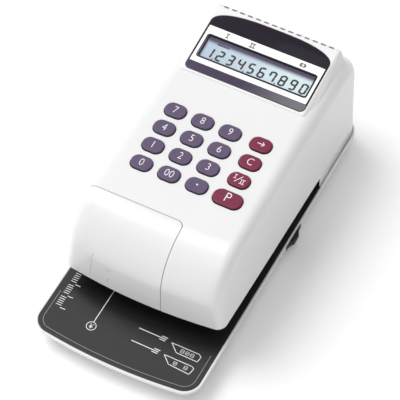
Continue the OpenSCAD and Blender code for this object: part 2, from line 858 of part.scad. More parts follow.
// ---------- Frame ----------
cheek_t = 1.6;
cheek_left = wheel_x - 10;
cheek_right = wheel_x + 10;
wheel_z = anvil_top + print_gap + wheel_r;
type_teeth = 24;
small_m = 0.6;
pinion_teeth = 12;
small_gear_gap = small_m * (type_teeth + pinion_teeth) / 2;
type_angle = 60;
type_pinion_at = [wheel_y, wheel_z] + small_gear_gap * [cos(type_angle), sin(type_angle)];
ink_angle = 135;
ink_at = [wheel_y, wheel_z] + (wheel_r + ink_r + nip) * [cos(ink_angle), sin(ink_angle)];
cam_gap = 0.1;
cam_z = arm_z - arm_w / 2 - cam_r - cam_gap;
cam_angle = 45;
cam_pinion_at = [cam_y, cam_z] + small_gear_gap * [cos(cam_angle), sin(cam_angle)];
arm_swing = 1.6;
cam_swing = 150;
cam_rise = (cam_y - arm_y) * tan(arm_swing);
ear_left = cheek_left - 6;
ear_right = cheek_right + 7;
motor_ear = ear_right + 7.5;
gear_w = 3;
cam_gear_x = ear_right + frame_t / 2 + 2 + gear_w / 2;
type_gear_x = cheek_right - cheek_t / 2 - 1.7 - gear_w / 2;

frame_low = floor_top;
frame_front = -76;
frame_half = case_w / 2 - 15;
upper_half = 46;
upper_top = upper_z + frame_t;
feed_m = 0.8;
feed_teeth = 20;
feed_gear_gap = feed_m * (feed_teeth + pinion_teeth) / 2;
feed_gear_y = web_y + 7;
feed_gear_w = 4;
motor_z = feed_z + feed_gear_gap;
boss_hole_r = 3;
pinch_z = table_z - pinch_r;
pinch_shaft_r = 1.45;

module frame() {
  ear_y = (arm_y + cam_y) / 2;
  color(steel) difference() {
    union() {
      box([-frame_half, wheel_y - anvil_w / 2 - 3, frame_low], [frame_half, web_y + frame_t, frame_low + frame_t]);
      box([-frame_half, web_y, frame_low], [frame_half, web_y + frame_t, upper_top]);
      box([-upper_half, frame_front, upper_z], [upper_half, web_y + frame_t, upper_top]);
      box([feed_x - 14, web_y, upper_z], [feed_x + 14, web_y + frame_t, motor_z + 13]);
      // Ears of the arm and cam shafts
      for (x = [ear_left, ear_right])
        box([x - frame_t / 2, arm_y - 6, upper_z], [x + frame_t / 2, cam_y + 6, arm_z + 5]);
      box([motor_ear - frame_t / 2, cam_y - 2, upper_z], [motor_ear + frame_t / 2, cam_pinion_at[0] + 10, cam_pinion_at[1] + 10]);
      // Ears of the pinch rollers
      for (y = feed_ys, s = [-1, 1])
        translate([feed_x, y + s * (feed_w / 2 + ear_gap + ear_t / 2), (frame_low + pinch_z + 3) / 2])
          cube([2 * pinch_r - 2, ear_t, pinch_z + 3 - frame_low], center = true);
    }
    // Window of the print unit
    box([cheek_left - 3, ink_at[0] - 2, upper_z - 1], [cheek_right + 3, wheel_y + wheel_r + 6, upper_top + 1]);
    // Windows of the feed rollers
    for (y = feed_ys)
      translate([feed_x, y, upper_z]) cube([2 * feed_r + 2, feed_w + 3, 6], center = true);
    translate([0, 0, -eps]) at_posts() cylinder(r = post_r + 0.3, h = table_low, $fn = 32);
    rod_x(shaft_r, ear_left - 2, ear_right + 2, arm_y, arm_z);
    rod_x(shaft_r + run, ear_left - 2, ear_right + 2, cam_y, cam_z);
    rod_x(boss_hole_r, motor_ear - 2, motor_ear + 2, cam_pinion_at[0], cam_pinion_at[1]);
    rod_y(boss_hole_r, web_y - 1, web_y + 3, feed_x, motor_z);
    rod_y(bush_r, web_y - 1, web_y + 3, feed_x, feed_z);
    for (y = feed_ys)
      rod_y(pinch_shaft_r, y - feed_w, y + feed_w, feed_x, pinch_z);
    // Ways for the wiring
    for (x = [-34, 0]) translate([x, web_y, 20]) cube([12, 10, 5], center = true);
  }
}

module anvil() {
  color(steel) difference() {
    box([wheel_x - anvil_w / 2, wheel_y - anvil_w / 2, frame_low + frame_t],
        [wheel_x + anvil_w / 2, wheel_y + anvil_w / 2, anvil_top]);
    rod_x(2.2, wheel_x - anvil_w, wheel_x + anvil_w, wheel_y, 11.5);
  }
}

// ---------- Print unit ----------
web_front = arm_y - 20;
web_rear = arm_y - 12;
web_low = arm_z - 7.5;
arm_eye = arm_w + 2;
spring_x = wheel_x;
spring_y = (web_front + web_rear) / 2;

module arm_outline() {
  link([arm_y, arm_z], [wheel_y, wheel_z], arm_w);
  link([wheel_y, wheel_z], ink_at, arm_w - 1);
  eye([arm_y, arm_z], arm_eye);
  eye([wheel_y, wheel_z], arm_eye);
  eye(ink_at, arm_w);
}

module print_arm() {
  color(steel) difference() {
    union() {
      side_plate(cheek_left, cheek_t) arm_outline();
      side_plate(cheek_right, cheek_t) {
        arm_outline();
        link([wheel_y, wheel_z], type_pinion_at, arm_w - 1);
        eye(type_pinion_at, arm_w);
        link([arm_y, arm_z], [cam_y + 6, arm_z], arm_w);
      }
      box([cheek_left, web_front, web_low], [cheek_right, web_rear, web_low + 3]);
    }
    rod_x(shaft_r + run, cheek_left - 2, cheek_right + 2, arm_y, arm_z);
    rod_x(shaft_r + run, cheek_left - 2, cheek_right + 2, wheel_y, wheel_z);
    rod_x(2, cheek_right - 2, cheek_right + 2, type_pinion_at[0], type_pinion_at[1]);
  }
}

module arm_pivot_shaft() {
  color(steel) rod_x(shaft_r, ear_left - 2, ear_right + 2, arm_y, arm_z);
}

// Coil spring from the frame to the arm's web
spring_r = 2.6;
wire_r = 0.4;
spring_turns = 6;
spring_steps = 16;
wire_sides = 6;
spring_low = upper_top + wire_r;
spring_rise = web_low - upper_top - 2 * wire_r;
function coil_at(i) =
  let (a = 360 * i / spring_steps)
  [spring_x + spring_r * cos(a), spring_y + spring_r * sin(a), spring_low + spring_rise * i / (spring_steps * spring_turns)];
module arm_spring() {
  last = spring_steps * spring_turns;
  n = wire_sides;
  points = [
    for (i = [0:last], j = [0:n - 1])
      let (a = 360 * i / spring_steps, b = 360 * j / n)
      coil_at(i) + wire_r * cos(b) * [cos(a), sin(a), 0] + wire_r * sin(b) * [0, 0, 1]
  ];
  sides = [
    for (i = [0:last - 1], j = [0:n - 1])
      let (p = i * n + j, q = i * n + (j + 1) % n)
      each [[p, q, p + n], [q, q + n, p + n]]
  ];
  low_end = [for (j = [1:n - 2]) [0, j + 1, j]];
  high_end = [for (j = [1:n - 2]) [last * n, last * n + j, last * n + j + 1]];
  color(steel) polyhedron(points, concat(sides, low_end, high_end));
}

module type_wheel() {
  color(black) difference() {
    union() {
      rod_x(wheel_r - 0.9, wheel_x - wheel_w / 2, wheel_x + wheel_w / 2, wheel_y, wheel_z);
      for (i = [0:wheel_types - 1])
        translate([wheel_x, wheel_y, wheel_z]) rotate([360 * i / wheel_types, 0, 0])
          box([-2.2, -1.5, -sqrt(wheel_r * wheel_r - 2.25)], [2.2, 1.5, 3 - wheel_r]);
    }
    rod_x(shaft_r, wheel_x - 10, wheel_x + 10, wheel_y, wheel_z);
    for (i = [0:5])
      translate([wheel_x, wheel_y, wheel_z]) rotate([60 * i, 0, 0]) rod_x(1.8, -10, 10, 6.5, 0);
  }
}

module type_shaft() {
  color(steel) rod_x(shaft_r, cheek_left - 2, cheek_right + cheek_t / 2 - 0.2, wheel_y, wheel_z);
}

module type_gear() {
  color(brass) gear_x(type_gear_x, wheel_y, wheel_z, type_angle) gear(type_teeth, small_m, gear_w, shaft_r);
}

motor_shaft_r = 1;
// Small motor with its face at x, its body on +X and its shaft on -X
module small_motor(x, at, shaft_end, l) {
  color("gray") rod_x(motor_r, x, x + l, at[0], at[1]);
  color(black) rod_x(motor_r - 2, x + l - eps, x + l + 1, at[0], at[1]);
  color(steel) rod_x(motor_shaft_r, shaft_end, x + eps, at[0], at[1]);
}

module type_motor() {
  small_motor(cheek_right + cheek_t / 2, type_pinion_at, type_gear_x - gear_w / 2, 16);
}

module type_pinion() {
  color(brass) gear_x(type_gear_x, type_pinion_at[0], type_pinion_at[1], type_angle + 180 + 180 / pinion_teeth)
    gear(pinion_teeth, small_m, gear_w, motor_shaft_r + run);
}

core_r = 1.5;
ink_w = 8;
module ink_roller() {
  color("#1d1b2e") difference() {
    rod_x(ink_r, wheel_x - ink_w / 2, wheel_x + ink_w / 2, ink_at[0], ink_at[1]);
    rod_x(3, wheel_x - ink_w, wheel_x + ink_w, ink_at[0], ink_at[1]);
  }
}

holder_t = 1.5;
module ink_roller_core() {
  color("ivory") {
    rod_x(3, wheel_x - ink_w / 2, wheel_x + ink_w / 2, ink_at[0], ink_at[1]);
    rod_x(core_r, cheek_left + cheek_t / 2 + 0.2, cheek_right - cheek_t / 2 - 0.2, ink_at[0], ink_at[1]);
  }
}

module ink_holder() {
  left = cheek_left + cheek_t / 2;
  right = cheek_right - cheek_t / 2;
  top = ink_at[1] + ink_r + 2.4;
  color("#3a3a40") difference() {
    union() {
      for (x = [left, right - holder_t])
        box([x, ink_at[0] - 4, ink_at[1] - 4], [x + holder_t, ink_at[0] + 4, top]);
      box([left, ink_at[0] - 4, top - holder_t], [right, ink_at[0] + 4, top]);
      // Thumb tab
      box([wheel_x - 4, ink_at[0] - 7, top - holder_t], [wheel_x + 4, ink_at[0] - 3, top]);
    }
    rod_x(core_r + run, left - 1, right + 1, ink_at[0], ink_at[1]);
  }
}

// ---------- Cam drive ----------
cam_w = 5;
cam_back = 360 - cam_swing;
function cam_radius(a) = cam_r + cam_rise * (a <= cam_swing ? a / cam_swing : (360 - a) / cam_back);
module cam() {
  steps = 72;
  color("ivory") difference() {
    side_plate(cheek_right, cam_w)
      polygon([
        for (i = [0:steps - 1]) let (a = 360 * i / steps)
          [cam_y + cam_radius(a) * cos(90 - a), cam_z + cam_radius(a) * sin(90 - a)]
      ]);
    rod_x(shaft_r, cheek_right - cam_w, cheek_right + cam_w, cam_y, cam_z);
  }
}

module cam_shaft() {
  color(steel) rod_x(shaft_r, ear_left - 2, cam_gear_x + gear_w / 2, cam_y, cam_z);
}

module cam_gear() {
  color(brass) gear_x(cam_gear_x, cam_y, cam_z, cam_angle) gear(type_teeth, small_m, gear_w, shaft_r);
}

module cam_motor() {
  small_motor(motor_ear + frame_t / 2, cam_pinion_at, cam_gear_x - gear_w / 2, 12);
}

module cam_pinion() {
  color(brass) gear_x(cam_gear_x, cam_pinion_at[0], cam_pinion_at[1], cam_angle + 180 + 180 / pinion_teeth)
    gear(pinion_teeth, small_m, gear_w, motor_shaft_r + run);
}

// ---------- Feed unit ----------
block_w = 4;
module feed_shaft() {
  color(steel) rod_y(feed_shaft_r, feed_ys[0] - feed_w / 2 - block_w - 2, feed_gear_y + feed_gear_w / 2, feed_x, feed_z);
}

module feed_rollers() {
  color(rubber) difference() {
    for (y = feed_ys) rod_y(feed_r, y - feed_w / 2, y + feed_w / 2, feed_x, feed_z);
    rod_y(feed_shaft_r, -100, 100, feed_x, feed_z);
  }
}

module feed_gear() {
  color(brass) gear_y(feed_x, feed_gear_y, feed_z, 90) gear(feed_teeth, feed_m, feed_gear_w, feed_shaft_r);
}

module feed_bearings() {
  color("ivory") difference() {
    union() {
      for (y = [feed_ys[0] - feed_w / 2 - 2 - block_w, feed_ys[1] + feed_w / 2 + 2])
        box([feed_x - 7, y, upper_top], [feed_x + 7, y + block_w, feed_z + 6]);
      rod_y(bush_r, web_y, web_y + frame_t + 1, feed_x, feed_z);
      rod_y(bush_r + 1.5, web_y + frame_t, web_y + frame_t + 1, feed_x, feed_z);
    }
    rod_y(feed_shaft_r + run, -100, 100, feed_x, feed_z);
  }
}

motor_pin_r = 1.25;
module feed_motor() {
  color("gray") rod_y(feed_motor_r, web_y - 24, web_y, feed_x, motor_z);
  color(black) rod_y(feed_motor_r - 2, web_y - 25, web_y - 24 + eps, feed_x, motor_z);
  color(steel) rod_y(motor_pin_r, web_y - eps, feed_gear_y + feed_gear_w / 2, feed_x, motor_z);
}

module feed_pinion() {
  color(brass) gear_y(feed_x, feed_gear_y, motor_z, 270 + 180 / pinion_teeth)
    gear(pinion_teeth, feed_m, feed_gear_w, motor_pin_r + run);
}

module pinch_roller(y) {
  color(rubber) difference() {
    rod_y(pinch_r, y - feed_w / 2, y + feed_w / 2, feed_x, pinch_z);
    rod_y(pinch_shaft_r + run, y - feed_w, y + feed_w, feed_x, pinch_z);
  }
}

module pinch_shafts() {
  reach = feed_w / 2 + ear_gap + ear_t;
  color(steel) for (y = feed_ys) rod_y(pinch_shaft_r, y - reach, y + reach, feed_x, pinch_z);
}

// ---------- Switch and jack ----------
knob_top = table_z - 0.4;
knob_low = lip_low - 3.4;
knob_face = case_w / 2 + 0.2;
module power_slider() {
  out = case_w / 2 + knob_out;
  h = knob_l / 2;
  flank_points = [[knob_face, h], [knob_face + 0.5, h * 0.78], [knob_face + 1.4, h * 0.5], [out - 0.4, h * 0.3], [out, h * 0.2]];
  color(black) union() {
    translate([0, knob_y, 0]) slab(knob_low, knob_top)
      polygon(concat([for (p = flank_points) p], [for (i = [len(flank_points) - 1:-1:0]) [flank_points[i][0], -flank_points[i][1]]]));
    box([neck_in, knob_y - neck_w / 2, neck_low], [knob_face + eps, knob_y + neck_w / 2, neck_high]);
  }
}

module switch_body() {
  color("#3a3a40") difference() {
    box([neck_in - 5, knob_y - neck_w / 2 - 4, frame_low + frame_t],
        [neck_in + 4, knob_y + neck_w / 2 + knob_travel + 4, neck_high]);
    neck_space();
  }
}

pin_r = 1.05;
module dc_jack() {
  side = jack_r + jack_wall;
  face = head_foot - bow_at(jack_x);
  inner = head_foot - wall - bow_at(abs(jack_x) + side) - jack_gap;
  color(black) difference() {
    union() {
      box([jack_x - side, inner - 10, jack_z - side], [jack_x + side, inner, jack_z + side]);
      rod_y(jack_r, inner - eps, face, jack_x, jack_z);
    }
    rod_y(2.85, face - 9, face + 1, jack_x, jack_z);
  }
  color(steel) rod_y(pin_r, face - 10, face - 1, jack_x, jack_z);
}

lower_case();
table_plate();
rubber_feet();
upper_housing();
throat_guide();
display_panel();
lcd_module();
keypad_board();
key_mat();
ink_cover();
screws();
frame();
anvil();
print_arm();
arm_pivot_shaft();
arm_spring();
type_wheel();
type_shaft();
type_gear();
type_motor();
type_pinion();
ink_roller();
ink_roller_core();
ink_holder();
cam();
cam_shaft();
cam_gear();
cam_motor();
cam_pinion();
feed_shaft();
feed_rollers();
feed_gear();
feed_bearings();
feed_motor();
feed_pinion();
pinch_roller(feed_ys[0]);  // pinch_roller_front
pinch_roller(feed_ys[1]);  // pinch_roller_rear
pinch_shafts();
main_board();
power_slider();
switch_body();
dc_jack();
battery_cells();
battery_door();
for (k = KEYS) key(k);
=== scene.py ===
import json
import math

import bmesh
import bpy
from bpy.props import FloatProperty, FloatVectorProperty, IntProperty, PointerProperty, StringProperty
from mathutils import Matrix, Vector
from mathutils.bvhtree import BVHTree
from mathutils.interpolate import poly_3d_calc


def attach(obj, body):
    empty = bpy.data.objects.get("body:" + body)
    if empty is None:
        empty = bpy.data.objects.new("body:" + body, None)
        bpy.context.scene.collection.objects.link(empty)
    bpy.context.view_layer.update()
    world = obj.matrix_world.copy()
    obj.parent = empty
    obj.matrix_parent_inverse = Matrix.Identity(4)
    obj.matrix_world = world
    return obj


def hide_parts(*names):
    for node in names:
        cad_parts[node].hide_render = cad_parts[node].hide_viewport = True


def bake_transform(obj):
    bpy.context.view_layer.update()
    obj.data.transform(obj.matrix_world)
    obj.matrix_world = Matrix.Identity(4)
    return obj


bl_info = {
    "name": "Desk Check Writer",
    "version": (1, 0, 0),
    "blender": (4, 5, 0),
    "location": "3D View > Sidebar > Check Writer",
    "description": "Finishes a desk check writer: shells, keys, display, table markings and their materials",
    "category": "Object",
}

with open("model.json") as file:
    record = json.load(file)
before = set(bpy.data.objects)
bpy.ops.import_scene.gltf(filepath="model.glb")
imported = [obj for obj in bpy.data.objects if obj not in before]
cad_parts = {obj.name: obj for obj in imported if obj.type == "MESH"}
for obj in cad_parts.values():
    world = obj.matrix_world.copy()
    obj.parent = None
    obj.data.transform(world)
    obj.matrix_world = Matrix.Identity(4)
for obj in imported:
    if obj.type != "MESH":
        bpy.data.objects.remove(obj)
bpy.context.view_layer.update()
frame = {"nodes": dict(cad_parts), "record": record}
NODES = frame["nodes"]
SLOT_OF = {part["node"]: part["material_slot"] for part in frame["record"]["subparts"]}
MM = 0.001

# ---------- Sizes, in millimetres, as in the part ----------
CASE_W, CASE_FRONT, CASE_REAR = 130, 140, 141
FRONT_CORNER_R, REAR_CORNER_R, BOW_R = 14, 18, 400
TABLE_Z, LIP_W, LIP_H, UNDERCUT = 17, 1.4, 2.6, 9
WALL, TABLE_T, FLOOR_Z, FLOOR_TOP, LEDGE = 2.4, 2, 3, 5.2, 2
LIP_LOW, TABLE_LOW, PLATE_GAP = TABLE_Z - LIP_H, TABLE_Z - TABLE_T, 0.15
HEAD_W, DECK_W, HEAD_FRONT, HEAD_REAR, HEAD_CORNER_R = 125.6, 118.6, 92.8, 139.45, 7
DECK_Z, DECK_TILT = 92.9, math.radians(2.5)
ROLL_R, REAR_ROLL_R, HEAD_REAR_R, EDGE_R = 38, 25, 12, 8
MOUTH_FRONT, MOUTH_REAR, THROAT_REAR = 33, 27, 68
STOP_IN, STOP_OUT, RIB_HIGH = 51, 62.4, 25.9
HOOD_FRONT, HOOD_REAR, HOOD_TILT, HOOD_STEP = 61.5, 124.5, math.radians(8.6), 0.9
HOOD_W, HOOD_FOOT_W, HOOD_EDGE_R, HOOD_WALL = 101, 107, 3, 2.2
PANEL_W, PANEL_L, PANEL_ARCH, PANEL_T, PANEL_CORNER_R = 95, 55.5, 12, 1.6, 4
PANEL_FRONT, SHELF_T = HOOD_FRONT + 3, 2
LCD_OPENING, LCD_MIDDLE, LCD_Z = (85, 18.5), (0.3, 22.35), -1
DIGIT_LEFT, DIGIT_FOOT, DIGIT_W, DIGIT_PITCH, DIGIT_LEAN = -38.95, 14, 5.4, 8.34, 0.07
SEGMENT_W, SEGMENT_GAP = 1.5, 0.08
BAND_TOP, BAND_IN, MARK_V = 6.75, 0.45, 36
VENT_W, VENT_L, VENT_IN = 4, 2, 1.2
KEY_SIZE, PRINT_KEY_SIZE, KEY_END = (15.8, 11.8), (21.6, 12.8), 0.44
KEY_UP, KEY_GAP, FLANGE_T = 1.4, 0.4, 1.2
KEY_Y0, KEY_PITCH_Y, PRINT_KEY_DROP = 26.8, 16.9, 0.6
COVER_X, COVER_Y, COVER_CORNER_R, SEAM, COVER_LIFT = 16, -55, 5, 0.4, math.radians(40)
BEVEL, BEVEL_DEPTH = 0.25, 0.22
TONGUE_XS, TONGUE_W, TONGUE_T, TONGUE_DROP, TONGUE_GAP = (-42, 4), 8, 1.6, 5, 0.3
WHEEL_X, WHEEL_Y, WHEEL_OPENING = -26, -55, (16, 16)
FEED_X, FEED_YS, FEED_OPENING = 30, (-25, 15), (10, 15.8)
BOSSES, BOSS_R = [(x, y) for x in (-50, 50) for y in (78, 118)], 4
POSTS, POST_R = [(x, y) for x in (-40, 40) for y in (-100, -5, 50)], 3
DECK_POSTS = [(x, y) for x in (-50, 50) for y in (-37, 37)]
STANDOFFS = [(x, y) for x in (-28, 4) for y in (82, 116)]
SCREW_R, SCREW_HEAD_R, SCREW_SEAT_Z = 1.7, 3.3, 7
FOOT_X, FOOT_YS, FOOT_R = 44, (-112, 98), 6.5
KEYPAD_Z = -WALL - 0.2 - FLANGE_T - 3.6 - 1.3 - 0.2
CELL_R, CELL_L, CELL_Y, JACKET_BAND_Y = 7.25, 50.5, 101.6, 112
BAY_W, BAY_L = 4 * (2 * CELL_R + 0.3) + 3, CELL_L + 3
BAY_TOP = FLOOR_Z + 2.4 + 2 * CELL_R + 0.8
BAY_ROOF = BAY_TOP + 2.2
DOOR_W, DOOR_L, DOOR_T, DOOR_GAP, DOOR_TRAVEL, RAIL_W = BAY_W + 3, BAY_L + 2, 0.6, 0.2, 6, 1
JACK_X, JACK_Z, JACK_R = -40, 29.2, 5
KNOB_Y, KNOB_L, KNOB_OUT, KNOB_TRAVEL = 19.5, 24, 2.8, 4
GRIP_GROOVES, GRIP_PITCH = 5, 1.05
NECK_W, NECK_IN, NECK_LOW, NECK_HIGH, NECK_GAP = 8, 50, 12, 14.2, 0.3
SPRING_R, WIRE_R, SPRING_TURNS, TURN_STEPS = 2.6, 0.38, 6, 24
SPRING_Y, SPRING_LOW, SPRING_HIGH = -30, 27.8, 38.5

# The thickness of a print, a hair's overlap, and how far a cutting shape goes past a surface
FILM, OVERLAP, PAST, FAR = 0.03, 0.01, 5, 20

# The floor, and the photo's camera: focal length and width in pixels, the sensor in millimetres
FLOOR_REACH, SENSOR, PHOTO_FOCUS, PHOTO_WIDTH = 4000, 36, 2137, 400
CAMERA_ANGLES, CAMERA_PLACE = (27.6, 53.0, -0.15), (425.97, -816.23, 1263.82)

# The table's prints
RULER_X, RULER_Y, SHORT_TICK, LONG_TICK, LONG_EVERY = -57.5, -112.9, 4.3, 8.5, 6
RING_Y, RING_R = -116.5, 3.7
GUIDE_LEFT, GUIDE_RIGHT, GUIDE_YS = 4.9, 25.8, (-102.5, -114)
LABEL_FRAMES = [[(30.7, -102.9), (37.1, -108.7), (53.7, -108.9), (54.2, -104.2), (52.1, -102.7)],
                [(30.5, -113.9), (36.8, -119.6), (53.2, -120.5), (54.2, -115.1), (52.4, -113.8)]]
LABEL_CELLS = [(39.4, -107.2), (43.2, -107.2), (47, -107.2), (39.4, -118.3), (47.6, -118.3)]
BORDER_IN, BORDER_END = 5, -100

COLUMNS = (-34, -12.3, 9.4, 33.5)
PRINT_KEY = (3, 3)
KEYS = [
    ("key_7", 0, 0, "7"), ("key_8", 1, 0, "8"), ("key_9", 2, 0, "9"), ("key_arrow", 3, 0, "arrow"),
    ("key_4", 0, 1, "4"), ("key_5", 1, 1, "5"), ("key_6", 2, 1, "6"), ("key_clear", 3, 1, "C"),
    ("key_1", 0, 2, "1"), ("key_2", 1, 2, "2"), ("key_3", 2, 2, "3"), ("key_mode", 3, 2, "mode"),
    ("key_0", 0, 3, "0"), ("key_00", 1, 3, "00"), ("key_point", 2, 3, "point"),
    ("key_print", *PRINT_KEY, "P"),
]
SEGMENTS = {"0": "abcdef", "1": "bc", "2": "abged", "3": "abgcd", "4": "fgbc", "5": "afgcd", "6": "afgedc",
            "7": "abcf", "8": "abcdefg", "9": "abcdfg"}


def deck(y):
    """Height of the deck, which rises to the rear."""
    return DECK_Z + y * math.tan(DECK_TILT)


def hood(y):
    """Height of the display hood, which rises more steeply."""
    return deck(HOOD_FRONT) + HOOD_STEP + (y - HOOD_FRONT) * math.tan(HOOD_TILT)


def mouth(y):
    """Height of the throat's roof."""
    return MOUTH_REAR + (THROAT_REAR - y) * (MOUTH_FRONT - MOUTH_REAR) / (HEAD_FRONT + THROAT_REAR)


def bow(x):
    """How far a bowed end falls back at a distance from the middle."""
    return x * x / (2 * BOW_R)


def at(x, y, z=0.0):
    return Matrix.Translation((x, y, z))


def on_deck(x, y):
    """Frame that stands square to the deck, in millimetres."""
    return at(x, y, deck(y)) @ Matrix.Rotation(DECK_TILT, 4, "X")


def on_hood():
    """Frame of the display: across, up the slope and out of it, in millimetres."""
    return at(0, PANEL_FRONT, hood(PANEL_FRONT)) @ Matrix.Rotation(HOOD_TILT, 4, "X")


JACK_PLACE = at(JACK_X, 0, JACK_Z) @ Matrix.Rotation(-math.pi / 2, 4, "X")


# ---------- Outlines, flat lists of points in millimetres ----------
def circle(x, y, r, count=48):
    angles = [2 * math.pi * i / count for i in range(count)]
    return [(x + r * math.cos(a), y + r * math.sin(a)) for a in angles]


def arc(x, y, r, start, end, count):
    """Points on an arc, angles in degrees."""
    steps = [math.radians(start + (end - start) * i / count) for i in range(count + 1)]
    return [(x + r * math.cos(a), y + r * math.sin(a)) for a in steps]


def rounded(width, depth, r, count=12, x=0, y=0):
    """Rectangle with round corners, round x, y."""
    w, d = width / 2 - r, depth / 2 - r
    corners = ((w, -d, -90), (w, d, 0), (-w, d, 90), (-w, -d, 180))
    return [p for cx, cy, a in corners for p in arc(x + cx, y + cy, r, a, a + 90, count)]


def grown(width, depth, r, count, x=0, y=0):
    """Outline function of a rectangle with round corners: it takes how far the outline grows."""
    return lambda grow: rounded(width + 2 * grow, depth + 2 * grow, r + grow, count, x, y)


def eased(corners, steps=4):
    """Profile through corners of (place, height, radius), each rounded with an arc of its radius."""
    points = []
    for i, (x, z, r) in enumerate(corners):
        if r == 0:
            points.append((x, z))
            continue
        here = Vector((x, z))
        back, ahead = [(Vector(corners[k][:2]) - here).normalized() for k in (i - 1, i + 1)]
        half = back.angle(ahead) / 2
        middle = here + (back + ahead).normalized() * r / math.sin(half)
        start, end = [here + way * r / math.tan(half) - middle for way in (back, ahead)]
        curve = [middle + start.slerp(end, k / steps).normalized() * r for k in range(steps + 1)]
        points += [(round(p.x, 5), round(p.y, 5)) for p in curve]
    return points


def bowed(width, front, rear, front_r, rear_r, inset, count=18):
    """Outline with bowed ends, drawn in by inset on all sides."""
    half, f, b = width / 2 - inset, max(front_r - inset, 1), max(rear_r - inset, 1)
    xf, xb = half - f, half - b
    af, ab = math.degrees(math.asin(xf / BOW_R)), math.degrees(math.asin(xb / BOW_R))
    yf, yb = -front + inset + bow(xf), rear - inset - bow(xb)
    span = [i / 12 for i in range(-11, 12)]
    rear_edge = [(-t * xb, rear - inset - bow(t * xb)) for t in span]
    front_edge = [(t * xf, -front + inset + bow(t * xf)) for t in span]
    right = arc(xf, yf + f, f, af - 90, 0, count) + arc(xb, yb - b, b, 0, 90 - ab, count)
    left = arc(-xb, yb - b, b, 90 + ab, 180, count) + arc(-xf, yf + f, f, 180, 270 - af, count)
    return right + rear_edge + left + front_edge


def head_outline(inset):
    return bowed(HEAD_W, HEAD_FRONT, HEAD_REAR, HEAD_CORNER_R, REAR_CORNER_R - LIP_W, inset)


def case_outline(inset):
    return bowed(CASE_W, CASE_FRONT, CASE_REAR, FRONT_CORNER_R, REAR_CORNER_R, inset)


# ---------- Meshes ----------
def placed(name, data):
    """Object with its data, in the scene's collection."""
    piece = bpy.data.objects.new(name, data)
    bpy.context.scene.collection.objects.link(piece)
    return piece


def new_piece(name, points, faces, place=None):
    """Mesh object at the origin, from points in millimetres."""
    mesh = bpy.data.meshes.new(name)
    place = place or Matrix.Identity(4)
    mesh.from_pydata([(place @ Vector(p)) * MM for p in points], [], faces)
    return placed(name, mesh)


def loft(name, rings, place=None, closed=False):
    """Closed solid through rings of equal count; closed joins the last ring to the first one."""
    count = len(rings[0])
    faces = []
    for k in range(len(rings) if closed else len(rings) - 1):
        a, b = k * count, (k + 1) % len(rings) * count
        faces += [(a + i, a + (i + 1) % count, b + (i + 1) % count, b + i) for i in range(count)]
    if not closed:
        last = (len(rings) - 1) * count
        faces += [tuple(reversed(range(count))), tuple(range(last, last + count))]
    piece = new_piece(name, [p for ring in rings for p in ring], faces, place)
    work = bmesh.new()
    work.from_mesh(piece.data)
    bmesh.ops.recalc_face_normals(work, faces=work.faces)
    work.to_mesh(piece.data)
    work.free()
    return piece


def layered(name, outline, levels, place=None):
    """Solid whose outline at each (value, height) level is given by an outline function."""
    return loft(name, [[(x, y, z) for x, y in outline(value)] for value, z in levels], place)


def prism(name, outline, low, high, place=None):
    return loft(name, [[(x, y, z) for x, y in outline] for z in (low, high)], place)


def box(name, low, high, place=None):
    outline = [(low[0], low[1]), (high[0], low[1]), (high[0], high[1]), (low[0], high[1])]
    return prism(name, outline, low[2], high[2], place)


def turned(name, profile, place=None, count=64):
    """Solid of revolution round Z through (radius, height) points."""
    return layered(name, lambda r: circle(0, 0, r, count), profile, place)


def copied(piece, name):
    """A second piece with its own copy of the mesh."""
    return placed(name, piece.data.copy())


def discard(pieces):
    for piece in pieces:
        mesh = piece.data
        bpy.data.objects.remove(piece)
        if mesh.users == 0:
            bpy.data.meshes.remove(mesh)


def joined(name, pieces):
    """One object from several, which keep their materials."""
    mesh, materials = bpy.data.meshes.new(name), []
    work = bmesh.new()
    for piece in pieces:
        places = []
        for used in piece.data.materials:
            if used not in materials:
                materials.append(used)
            places.append(materials.index(used))
        start = len(work.faces)
        work.from_mesh(piece.data)
        work.faces.ensure_lookup_table()
        if places:
            for face in work.faces[start:]:
                face.material_index = places[min(face.material_index, len(places) - 1)]
    work.to_mesh(mesh)
    work.free()
    for used in materials:
        mesh.materials.append(used)
    discard(pieces)
    return placed(name, mesh)


def settle(piece):
    """Turns a piece with its modifiers into a plain mesh."""
    graph = bpy.context.evaluated_depsgraph_get()
    mesh = bpy.data.meshes.new_from_object(piece.evaluated_get(graph))
    old = piece.data
    piece.modifiers.clear()
    piece.data = mesh
    bpy.data.meshes.remove(old)
    return piece


def carve(piece, tools, how="DIFFERENCE"):
    """Cuts the tools from the piece, or joins or keeps what they share."""
    for tool in tools:
        cut = piece.modifiers.new(tool.name, "BOOLEAN")
        cut.operation = how
        cut.solver = "EXACT"
        cut.object = tool
    settle(piece)
    discard(tools)
    return piece


def paint(piece, material_used):
    piece.data.materials.clear()
    piece.data.materials.append(material_used)
    return piece


def smooth(piece, degrees=32):
    """Smooth shading, with true edges kept sharp."""
    mesh = piece.data
    mesh.polygons.foreach_set("use_smooth", [True] * len(mesh.polygons))
    mesh.set_sharp_from_angle(angle=math.radians(degrees))
    return piece


def fitted(piece, body, replaced=()):
    """Puts a finished piece on its body."""
    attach(piece, body)
    if replaced:
        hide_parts(*replaced)
    return piece


# ---------- Nodes ----------
def add(tree, kind, settings=None, links=None):
    """Adds a node: settings are its properties, links its input values or the sockets that feed them."""
    node = tree.nodes.new(kind)
    for name, value in (settings or {}).items():
        setattr(node, name, value)
    for name, value in (links or {}).items():
        if isinstance(value, bpy.types.NodeSocket):
            tree.links.new(value, node.inputs[name])
        else:
            node.inputs[name].default_value = value
    return node


